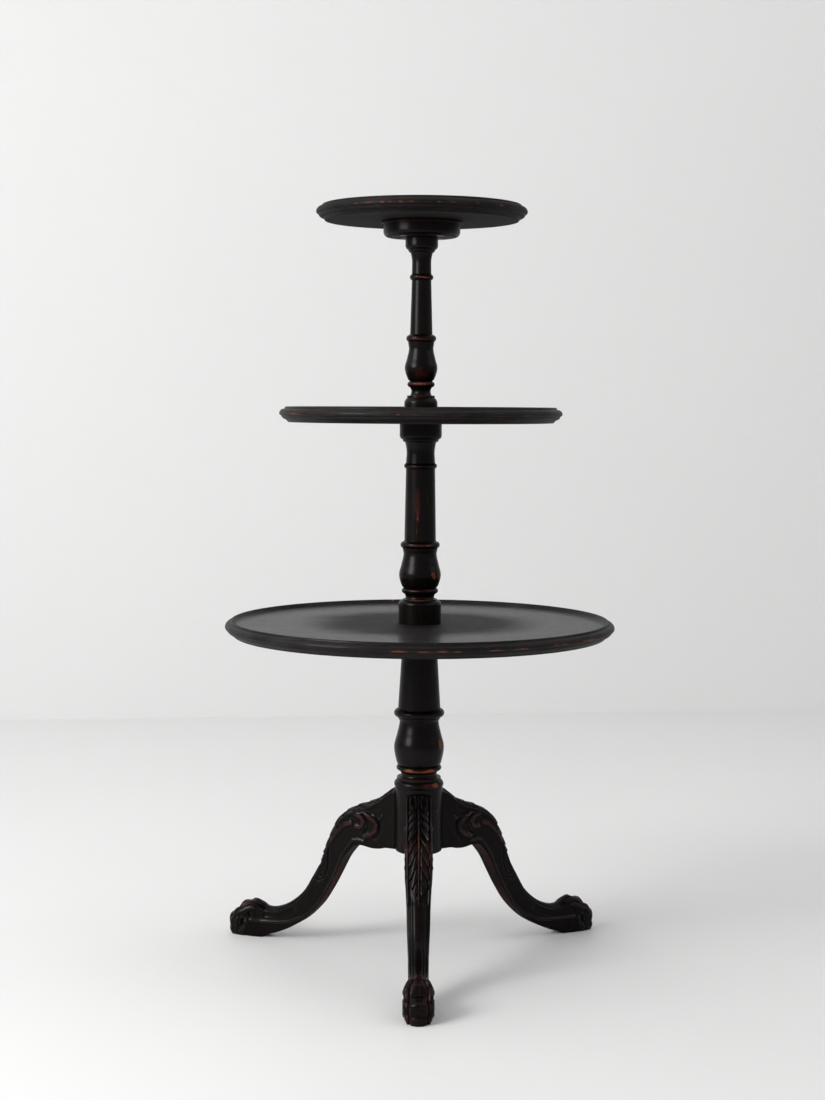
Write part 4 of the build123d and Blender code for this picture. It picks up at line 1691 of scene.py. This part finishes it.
    def _leaf(self) -> Array:
        """The acanthus leaf on the knee's crown.

        Returns:
            The leaf's relief, in millimetres.
        """
        along, side = self.columns["along"], np.abs(self.columns["over"])
        away = side * self.columns["shoulder"]
        tip = 1.0 - smooth_step(self.leaf_end - self.TIP_LENGTH, self.leaf_end, along)
        beat = (along - self.leaf_slant * away) / self.leaf_pitch
        part = beat - np.floor(beat)
        edge = self.LEAF_WIDTH + self.LOBE_DEPTH * dome(2.0 * part, 1.0, 1.0)
        edge = edge * np.sqrt(np.clip(tip, 0, 1))
        inside = 1.0 - smooth_step(-0.035, 0.035, side - edge)
        curl = 0.55 + 0.75 * smooth_step(0.10, 0.55, side)
        swell = part**0.7 * (1.0 - smooth_step(0.84, 1.0, part))
        body = self.LEAF_RISE * swell * curl
        rib = 1.5 * bell(away, 0.0, 1.15) - 0.9 * bell(away, 2.6, 0.9)
        leaf = inside * (body + rib) - 0.9 * (1.0 - inside)
        loop = np.hypot((along - 21.0) / 3.0, away - 7.2)
        scroll = 1.9 * bell(loop, 4.1, 1.3) - 0.8 * bell(loop, 0.0, 2.2)
        top = 1.0 - smooth_step(*self.SCROLL_TO, along)
        return leaf * (1.0 - top) + top * (scroll + rib * inside)

    def _crown(self) -> Array:
        """Relief on the crown: leaf with beaded borders, then the moulded shin.

        Returns:
            The relief, in millimetres.
        """
        along, side = self.columns["along"], np.abs(self.columns["over"])
        border = 1.1 * dome(side, 0.90, 0.085) - 0.7 * bell(side, self.FIELD, 0.035)
        knee = np.where(side < self.FIELD, self._leaf(), 0.0) + border
        leaf_zone = smooth_step(*self.LEAF_FROM, along)
        leaf_zone = leaf_zone * (1.0 - smooth_step(self.leaf_end, self.leaf_end + 8, along))
        band = smooth_step(0.52, 0.40, side) * 0.5
        bead = 0.7 * dome(side, 0.62, 0.07)
        hollow = -0.9 * bell(side, 0.79, 0.08) - 0.4 * bell(side, 0.52, 0.03)
        rim = 0.4 * bell(side, 0.96, 0.04)
        shin = band + bead + hollow + rim
        shin_zone = smooth_step(self.leaf_end - 10, self.leaf_end + 6, along)
        shin_zone = shin_zone * (1.0 - smooth_step(*self.SHIN_TO, along))
        return np.where(side <= 1.0, leaf_zone * knee + shin_zone * shin, 0.0)

    def _toes(self) -> tuple[Array, Array]:
        """Relief on the paw: two middle toes as one mass and a toe on each side.

        Returns:
            Relief along the surface's own direction, and lift along each section's rise.
        """
        along, climb, shoulder = (self.columns[key] for key in ("along", "climb", "shoulder"))
        side = np.abs(self.columns["y"])
        start = smooth_step(*self.PAW_FROM, along)
        middle = 5.0 + 8.4 * smooth_step(*self.TOES_SPREAD, along)
        mass = dome(side, 0.0, middle + 0.6)
        centre, half = (middle + shoulder) / 2, (shoulder - middle) / 2 + 0.8
        toe = dome(side, centre, half)
        wrap = np.where(climb == self.ABOVE, 1.0, smooth_step(0.5, 0.98, climb))
        gap = -2.3 * bell(side, middle, 1.1) - 0.5 * bell(side, 0.0, 1.2)
        inner, outer = (self._knuckles(along, bumps) for bumps in (self.INNER_TOE, self.OUTER_TOE))
        relief = wrap * start * (gap + toe)
        lift = wrap * start * (mass * (1.3 + inner) + toe * (0.6 + outer))
        return relief, lift

    def _lobes(self) -> Array:
        """How much wider or narrower the paw is at each height.

        Returns:
            What to multiply the width by.
        """
        along, height = self.columns["along"], self.columns["z"]
        joints = 0.02 * bell(height, 41.0, 5.0) - 0.045 * bell(height, 30.5, 2.6)
        joints = joints + 0.03 * bell(height, 21.0, 7.0)
        sole = -0.04 * smooth_step(12.0, 0.0, height)
        return 1.0 + smooth_step(*self.JOINTS_FROM, along) * (joints + sole)

    def _knuckles(self, along: Array, bumps: Sequence[Sequence[float]]) -> Array:
        """Adds up bumps along a toe, each given as its place, its length and its height."""
        return sum(height * bell(along, place, length) for place, length, height in bumps)

    def _stroke(self, points: Sequence[Point]) -> Array:
        """How far each point of the side view is from a carved line.

        Args:
            points: The line's points, in millimetres.

        Returns:
            The distances, in millimetres.
        """
        x, z = self.columns["x"], self.columns["z"]
        best = np.full(x.shape, 1e9)
        for (ax, az), (bx, bz) in zip(points, points[1:]):
            dx, dz = bx - ax, bz - az
            share = np.clip(((x - ax) * dx + (z - az) * dz) / (dx * dx + dz * dz), 0, 1)
            best = np.minimum(best, np.hypot(x - ax - share * dx, z - az - share * dz))
        return best

    def _flanks(self) -> tuple[Array, Array]:
        """Relief and wear on the sides: scrolls, leaf edges and the inner bead.

        Returns:
            The relief in millimetres, and how worn each point is.
        """
        along, climb = self.columns["along"], self.columns["climb"]
        flank = (climb >= 0) & (climb <= 1.0)
        soft = np.where(flank, smooth_step(1.0, 0.93, climb) * smooth_step(0.0, 0.06, climb), 0.0)
        relief = np.zeros(along.shape)
        worn = np.zeros(along.shape)
        for points, width, height, rub in self.strokes:
            near = self._stroke(points)
            if height > 0:
                relief += height * dome(near, 0.0, 1.5 * width)
            else:
                relief += height * bell(near, 0.0, 0.8 * width)
            worn += rub * bell(near, 0.0, width)
        beat = np.cos(2 * math.pi * (along - 6.0) / self.tip_pitch)
        tips = np.clip(beat, 0, 1) ** 0.7 * smooth_step(0.80, 0.97, climb) * 0.9
        tips = tips * smooth_step(*self.TIPS_FROM, along)
        tips = tips * (1.0 - smooth_step(*self.TIPS_TO, along))
        relief = soft * relief + np.where(flank, tips, 0.0)
        belly = self.BELLY_WORN * np.where(climb < 0, 1.0, smooth_step(0.10, 0.0, climb))
        return relief, soft * worn + belly * smooth_step(*self.BELLY_FROM, along)

    def _patch(self, patch: tuple[float, float, float]) -> Array:
        """How worn each point is by one rubbed patch."""
        return patch[2] * bell(self.columns["along"], patch[0], patch[1])

    def _wear(self, relief: Array, worn: Array) -> dict[str, Array]:
        """What the finish reads from the mesh.

        Args:
            relief: How far each point stands out of the plain leg, in millimetres.
            worn: How worn the sides are.

        Returns:
            The rub, crease, plain and burnish of each point of the grid.
        """
        blurred = relief.copy()
        for _ in range(5):
            padded = np.pad(blurred, ((1, 1), (0, 0)), mode="edge")
            blurred = (padded[:-2] + padded[2:] + 2 * blurred) / 4
            blurred = (np.roll(blurred, 1, 1) + np.roll(blurred, -1, 1) + 2 * blurred) / 4
        proud = relief - blurred
        along, over = self.columns["along"], self.columns["over"]
        on_crown = np.abs(over) <= 1.0
        rub = np.clip(0.8 * proud, 0, 0.35) + worn
        rub += self._patch(self.MIDRIB_WORN) * bell(over, 0.0, 0.05)
        rub += self._patch(self.SHIN_WORN) * (np.abs(over) < 0.42)
        rub += self._patch(self.LEAF_WORN) * on_crown
        rub += self.PAW_WORN * smooth_step(*self.PAW_WORN_FROM, along) * on_crown
        return {
            "rub": rub,
            "crease": np.clip(-2.2 * proud, 0, 1),
            "plain": np.where(self.columns["climb"] < 0, 1.0, 0.0),
            "burnish": np.clip(1.5 * proud, 0, 1) * (1.0 - 0.6 * on_crown),
        }

    def _faces(self, rows: int, columns: int) -> list[tuple[int, ...]]:
        """The leg's faces.

        Args:
            rows: How many sections the grid has.
            columns: How many points each section has.

        Returns:
            The faces as numbers of points; the two after the grid's are the middles of its ends.
        """
        faces = []
        for row in range(rows - 1):
            here, ahead = row * columns, (row + 1) * columns
            for j in range(columns):
                k = (j + 1) % columns
                faces.append((here + j, ahead + j, ahead + k, here + k))
        first, last, toes = rows * columns, rows * columns + 1, (rows - 1) * columns
        for j in range(columns):
            k = (j + 1) % columns
            faces += [(first, j, k), (last, toes + k, toes + j)]
        return faces

    def carve(self) -> tuple[Array, list[tuple[int, ...]], dict[str, Array]]:
        """Carves the leg.

        Returns:
            Its points in millimetres, its faces, and what the finish reads from its points.
        """
        self._lay_out()
        normal = self._normals()
        flank, worn = self._flanks()
        toes, lift = self._toes()
        start = smooth_step(*self.CARVED_FROM, self.columns["along"])
        relief = (self._crown() + toes + flank) * start
        place = np.stack([self.columns[key] for key in "xyz"], 2) + normal * relief[:, :, None]
        place[:, :, 0] += lift * self.columns["rise_x"]
        place[:, :, 2] += lift * self.columns["rise_z"]
        side = self.paw / 2 - self.CLEAR_OF_SIDES
        place[:, :, 1] *= self._lobes()
        place[:, :, 1] = np.clip(place[:, :, 1], -side, side)
        place[:, :, 2] = np.maximum(place[:, :, 2], 0.0)
        place[:, :, 0] = np.minimum(place[:, :, 0], self.reach - self.CLEAR_OF_TOES)
        middles = np.array([place[0].mean(0), place[-1].mean(0)])
        points = np.concatenate([place.reshape(-1, 3), middles])
        wear = self._wear(relief + lift, worn)
        attributes = {name: np.append(values.ravel(), [0.0, 0.0]) for name, values in wear.items()}
        return points, self._faces(*relief.shape), attributes


@dataclass
class TripodBase:
    """The three carved legs, the iron plate under the drum and its screws."""

    azimuths: dict[str, float] = field(
        default_factory=lambda: {"leg_front": -90.0, "leg_left": 155.0, "leg_right": 32.0}
    )
    plate_height: float = 164.5
    hub_radius: float = 19.1
    arm_radius: float = 8.1
    arm_reach: float = 56.1
    screw_reaches: tuple[float, float] = (38.0, 48.5)

    def build_legs(self, material: Material) -> list[Piece]:
        """Carves one leg and stands three copies in place of the nodes.

        Args:
            material: Their finish.

        Returns:
            The three legs.
        """
        points, faces, attributes = LegCarver().carve()
        legs = []
        for node, azimuth in self.azimuths.items():
            turn = np.array(Matrix.Rotation(math.radians(azimuth), 3, "Z"))
            mesh = bpy.data.meshes.new(node + "_carved")
            mesh.from_pydata((points @ turn.T * MILLIMETRE).tolist(), [], faces)
            for label, values in attributes.items():
                mesh.attributes.new(label, "FLOAT", "POINT").data.foreach_set("value", values)
            face_outwards(mesh)
            mesh.polygons.foreach_set("use_smooth", [True] * len(mesh.polygons))
            mesh.materials.append(material)
            leg = put(node + "_carved", mesh)
            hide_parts(node)
            legs.append(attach(leg, "stem"))
        return legs

    def screw_places(self) -> Array:
        """Where the plate's screws stand, in millimetres.

        Returns:
            One row for each screw.
        """
        places = [(0.0, 0.0)]
        for azimuth in self.azimuths.values():
            places += [polar(reach, azimuth) for reach in self.screw_reaches]
        return np.array([(*place, self.plate_height) for place in places])

    def plate_outline(self) -> list[tuple[Point, Point, float]]:
        """The plate's hub and arms.

        Returns:
            Each as two middles and a radius.
        """
        centre, reach = (0.0, 0.0), self.arm_reach - self.arm_radius
        ends = [polar(reach, azimuth) for azimuth in self.azimuths.values()]
        arms = [(centre, end, self.arm_radius) for end in ends]
        return [(centre, (0.01, 0.0), self.hub_radius), *arms]

    def dress_plate(self, material: Material) -> Piece:
        """Gives the plate's own node its iron finish.

        Args:
            material: The finish.

        Returns:
            The node.
        """
        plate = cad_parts["brace_plate"]
        plate.data.materials.clear()
        plate.data.materials.append(material)
        return plate


# ---------------------------------------------------------------- stage


@dataclass(frozen=True)
class Stage:
    """The plain room: pale floor and wall, soft window light from the left, and the camera."""

    wall_left: Point = (-1.08, 2.117)
    wall_right: Point = (1.13, 2.36)
    camera_place: tuple[float, float, float] = (-0.0114, -2.8384, 0.8466)
    camera_pitch: float = 0.0788
    camera_roll: float = 0.0052
    lens: float = 62.08
    sensor: float = 36.0
    room_light: tuple[float, float, float] = (0.385, 0.385, 0.388)
    lamp_colour: tuple[float, float, float] = (1.0, 0.995, 0.985)
    floor_paint: tuple[Colour, Colour] = ((0.74, 0.74, 0.74, 1.0), (0.77, 0.77, 0.77, 1.0))
    wall_paint: tuple[Colour, Colour] = ((0.78, 0.78, 0.78, 1.0), (0.80, 0.80, 0.80, 1.0))
    mottle: Noise = (2.2, 4.0, 0.55)
    grit: Noise = (260.0, 3.0, 0.6)
    grit_depth: float = 0.0002
    floor_half: float = 9.0
    wall_height: float = 3.2
    wall_more: float = 7.5
    # Lamps: name, place, what it faces, width and height in metres, power in watts
    lamps: Sequence[tuple[str, Sequence[float], Sequence[float], Point, float]] = (
        ("window_left", (-2.5, -1.75, 1.85), (0.0, 0.0, 0.6), (1.4, 1.5), 84.0),
        ("ceiling_left", (-2.7, -0.3, 3.4), (-1.2, -0.2, 0.0), (3.2, 6.0), 70.0),
        ("ceiling_right", (2.9, -0.3, 3.4), (1.2, -0.2, 0.0), (3.2, 6.0), 52.0),
    )

    def _paint(self, name: str, colours: tuple[Colour, Colour], one_sided: bool) -> Material:
        """A matt paint.

        Args:
            name: The material's name.
            colours: The paint's colour, and that of its faint mottle.
            one_sided: Whether its back is clear.

        Returns:
            The material.
        """
        shader = Shader(name)
        mottle = shader.noise(shader.place(), self.mottle)
        paint = shader.term(
            "ShaderNodeBsdfPrincipled",
            None,
            {
                "Base Color": shader.mix(mottle, *colours),
                "Roughness": 0.5,
                "Specular IOR Level": 0.15,
                "Normal": shader.bump(shader.noise(shader.place(), self.grit), self.grit_depth),
            },
        )
        if one_sided:
            back = shader.term("ShaderNodeNewGeometry", output="Backfacing")
            clear = shader.term("ShaderNodeBsdfTransparent")
            paint = shader.term("ShaderNodeMixShader", None, {0: back, 1: paint, 2: clear})
        shader.node("ShaderNodeOutputMaterial", None, {"Surface": paint})
        return shader.material

    def _sheet(
        self, name: str, corners: Sequence[tuple[float, float, float]], paint: Material
    ) -> None:
        """Makes a flat sheet of the room.

        Args:
            name: Its name.
            corners: Its corners.
            paint: Its finish.
        """
        mesh = bpy.data.meshes.new(name)
        mesh.from_pydata(list(corners), [], [tuple(range(len(corners)))])
        mesh.materials.append(paint)
        sheet = put(name, mesh)

    def build_room(self) -> None:
        """Makes the floor, the wall and the world."""
        left, right = np.array(self.wall_left), np.array(self.wall_right)
        run = (right - left) / np.hypot(*(right - left))
        left, right = left - self.wall_more * run, right + self.wall_more * run
        half, top = self.floor_half, self.wall_height
        floor = [(-half, -half, 0), (half, -half, 0), (half, half, 0), (-half, half, 0)]
        wall = [(*left, 0.0), (*right, 0.0), (*right, top), (*left, top)]
        self._sheet("floor", floor, self._paint("pale_floor", self.floor_paint, False))
        self._sheet("wall", wall, self._paint("pale_wall", self.wall_paint, True))
        world = bpy.data.worlds.new("room_light")
        world.use_nodes = False
        world.color = self.room_light
        bpy.context.scene.world = world

    def build_lights(self) -> None:
        """Hangs the lamps, each as soft as a window."""
        for name, place, aim, size, power in self.lamps:
            lamp = bpy.data.lights.new(name, "AREA")
            lamp.shape = "RECTANGLE"
            lamp.size, lamp.size_y = size
            lamp.energy = power
            lamp.color = self.lamp_colour
            holder = put(name, lamp)
            holder.location = place
            facing = Vector(aim) - Vector(place)
            holder.rotation_euler = facing.to_track_quat("-Z", "Y").to_euler()

    def build_camera(self) -> None:
        """Sets up the camera at the photograph's angle."""
        data = bpy.data.cameras.new("camera")
        data.lens = self.lens
        data.sensor_width = self.sensor
        camera = put("camera", data)
        tilt = Matrix.Rotation(math.pi / 2 - self.camera_pitch, 4, "X")
        roll = Matrix.Rotation(self.camera_roll, 4, "Z")
        camera.matrix_world = Matrix.Translation(self.camera_place) @ tilt @ roll
        bpy.context.scene.camera = camera
        bpy.context.scene.view_settings.view_transform = "Standard"


# ---------------------------------------------------------------- the stand


@dataclass
class ServingStand:
    """The whole stand: stem, trays, block, base and screws.

    Journals are the radii that the lower and middle tray turn about, plinths those of the plinths
    above them, and plinth_shares how far up its column each plinth reaches.
    """

    lathe: Lathe = field(default_factory=Lathe)
    block: TrayBlock = field(default_factory=TrayBlock)
    base: TripodBase = field(default_factory=TripodBase)
    drum_top: float = 264.0
    drum_radii: Point = (31.0, 36.0)
    journals: Point = (20.0, 16.0)
    journal_play: float = 0.08
    plinths: Point = (31.9, 24.8)
    plinth_shares: Point = (0.094, 0.047)
    pin_radius: float = 10.0
    pin_height: float = 20.0

    def _seated(self, tier: int, tray_top: float, head: float) -> Sequence[Point]:
        """How a column starts above a tray: the journal through it, then the plinth.

        Args:
            tier: 0 for the lower tray, 1 for the middle one.
            tray_top: The height of that tray's lip.
            head: The height that the column reaches.

        Returns:
            The first points of its outline.
        """
        journal, plinth = self.journals[tier], self.plinths[tier]
        under, dish = TRAYS.underside(tray_top), TRAYS.dish(tray_top)
        seat = dish + (SEAT_GAP - TRAYS.recess_depth)
        top = between(dish, head, self.plinth_shares[tier])
        return ((0.0, under), (journal, under), (journal, seat), (plinth, seat), (plinth, top))

    def columns(self) -> list[TurnedColumn]:
        """The three lengths of the stem, from the drum up.

        Returns:
            The three columns.
        """
        lower_under = TRAYS.underside(TRAYS.lower_top)
        middle_under = TRAYS.underside(TRAYS.middle_top)
        block_under = self.block.underside()
        drum_foot = self.base.plate_height
        inner, outer = self.drum_radii
        lower = TurnedColumn(
            node="lower_column",
            foot=self.drum_top,
            head=lower_under,
            tier=0,
            start=((0.0, drum_foot), (inner, drum_foot), (outer, self.drum_top)),
            drum_round=5.0,
            segments=160,
            recess=self.base.plate_outline(),
            recess_head=LegCarver.underside,
            chips=(
                (-30, 331, 6, 1.0, 1.7), (-118, 292, 7, 0.9, 0.45), (-58, 292, 8, 0.9, 0.4),
                (-88, 290.5, 26, 0.6, 0.08), (-130, 284, 8, 0.5, 0.3), (-46, 270, 6, 1.0, 0.7),
                (-70, 271, 12, 0.5, 0.3), (-38, 230, 2.2, 1.1), (-37, 223, 1.5, 0.9, 1.5),
                (-40, 246, 1.6, 0.9), (-35, 206, 1.4, 0.9, 1.6), (-40, 381, 14, 0.5, 0.25),
                (-140, 381, 10, 0.45, 0.25), (-125, 430, 16, 0.35, 2.0),
            ),
        )
        middle = TurnedColumn(
            node="middle_column",
            foot=TRAYS.dish(TRAYS.lower_top),
            head=middle_under,
            tier=1,
            start=self._seated(0, TRAYS.lower_top, middle_under),
            chips=(
                (-100, 672, 2.6, 0.3, 5.0), (-103, 690, 7.5, 0.54, 4.6), (-103, 650, 1.6, 0.5, 8.0),
                (-60, 690, 5, 0.42, 7.0), (-51, 588, 6, 0.95, 0.8), (-46, 582, 4, 0.8, 0.8),
                (-110, 748, 13, 0.55, 0.12), (-40, 748, 6, 0.4, 0.2), (-108, 631, 14, 0.5, 0.12),
                (-62, 631, 14, 0.6, 0.12), (-105, 563, 12, 0.55, 0.12), (-62, 565, 8, 0.6, 0.2),
                (-90, 548, 24, 0.35, 0.06), (-80, 516, 16, 0.5, 0.2),
            ),
        )
        upper = TurnedColumn(
            node="upper_column",
            foot=TRAYS.dish(TRAYS.middle_top),
            head=block_under,
            tier=2,
            start=self._seated(1, TRAYS.middle_top, block_under),
            pin=((self.pin_radius, block_under), (self.pin_radius, block_under + self.pin_height)),
            chips=(
                (-100, 888, 16, 0.5, 0.9), (-60, 886, 9, 0.3, 0.7), (-90, 870.5, 26, 0.5, 0.1),
                (-118, 937, 12, 0.6, 0.12), (-66, 936, 12, 0.55, 0.12), (-100, 1028, 14, 0.5, 0.12),
                (-62, 1027, 8, 0.5, 0.15), (-35, 960, 5, 0.5, 6.0), (-92, 850, 22, 0.5, 0.12),
            ),
        )
        return [lower, middle, upper]

    def trays(self) -> list[DishedTray]:
        """The three trays, from the lowest up.

        Returns:
            The three trays.
        """
        bores = [radius + self.journal_play for radius in self.journals]
        recesses = [radius + TRAYS.recess_margin for radius in self.plinths]
        return [
            DishedTray(
                node="lower_tray",
                body="lower_turntable",
                radius=292.0,
                top=TRAYS.lower_top,
                bore=bores[0],
                recess=recesses[0],
                segments=320,
                chips=(
                    (-96, 506.5, 16, 0.42, 0.16), (-89, 506, 9, 0.5, 0.25),
                    (-84, 507, 8, 0.42, 0.3), (-80, 506, 7, 0.46, 0.3),
                    (-69, 507, 14, 0.42, 0.14), (-61, 507, 14, 0.38, 0.12),
                    (-48, 509, 26, 0.34, 0.1), (-34, 509, 26, 0.4, 0.1),
                    (99, 518, 4, 1.2, 0.8),
                ),
            ),
            DishedTray(
                node="middle_tray",
                body="middle_turntable",
                radius=211.0,
                top=TRAYS.middle_top,
                bore=bores[1],
                recess=recesses[1],
                chips=(
                    (-93, 827, 3, 0.55, 0.6), (-99, 827, 2.5, 0.5, 0.6), (-150, 827, 22, 0.36, 0.1),
                    (-58, 823, 12, 0.36, 0.14), (-44, 826, 16, 0.3, 0.1),
                ),
            ),
            DishedTray(
                node="top_tray",
                body="top_turntable",
                radius=156.5,
                top=TRAYS.top_top,
                segments=256,
                chips=(
                    (-127, 1124, 3, 0.7, 0.3), (-119, 1124, 4, 0.6, 0.2),
                    (-111, 1124, 2.4, 0.8, 0.4), (-107, 1124, 3, 0.6, 0.25),
                    (-101, 1124, 2, 0.8, 0.5), (-96, 1124, 3, 0.55, 0.25),
                    (-81, 1124, 2, 0.9, 0.5), (-74, 1124, 4, 0.5, 0.2), (-60, 1124, 3, 0.6, 0.25),
                    (-44, 1124, 2.4, 0.8, 0.4), (-114, 1133, 3, 0.6, 0.4),
                ),
            ),
        ]

    def build(self) -> None:
        """Makes every piece, in order from the stem out."""
        column_wood = EbonisedWood("ebonised_column", Grain.UPRIGHT).material()
        leg_wood = EbonisedWood(
            "ebonised_carving",
            Grain.CARVED,
            bare=(0.13, 0.042, 0.022, 1.0),
            shine=0.04,
            coat=0.09,
            coat_roughness=0.12,
            bare_from=0.84,
        ).material()
        tray_wood = RubbedTray("ebonised_tray").material()
        iron = ForgedIron("forged_iron").material()
        steel = DulledSteel("dulled_steel").material()
        for column in self.columns():
            self._report(column.build(self.lathe, column_wood))
        for tray in self.trays():
            self._report(tray.build(self.lathe, tray_wood))
        self._report(self.block.build(self.lathe, column_wood))
        for leg in self.base.build_legs(leg_wood):
            self._report(leg)
        self._report(self.base.dress_plate(iron))
        setter = ScrewSetter()
        short = WoodScrew(radius=2.0, head_radius=4.2, length=19.0)
        long = WoodScrew(radius=2.2, head_radius=4.6, length=33.0)
        groups = (
            ("brace_screws", "stem", short, self.base.screw_places()),
            ("block_screws", "top_turntable", long, self.block.screw_places()),
        )
        for node, body, pattern, places in groups:
            screw = pattern.build(self.lathe, steel)
            group = setter.set(node + "_slotted", places, screw, steel)
            bpy.data.objects.remove(screw, do_unlink=True)
            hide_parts(node)
            self._report(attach(group, body))

    def _report(self, piece: Piece) -> None:
        """Logs a finished piece's name and its number of faces."""
        LOG.info("%s: %d faces", piece.name, len(piece.data.polygons))


def main() -> None:
    """Builds the stand and its stage."""
    logging.basicConfig(level=logging.INFO, format="%(message)s")
    ServingStand().build()
    stage = Stage()
    stage.build_room()
    stage.build_lights()
    stage.build_camera()


if __name__ == "__main__":
    main()
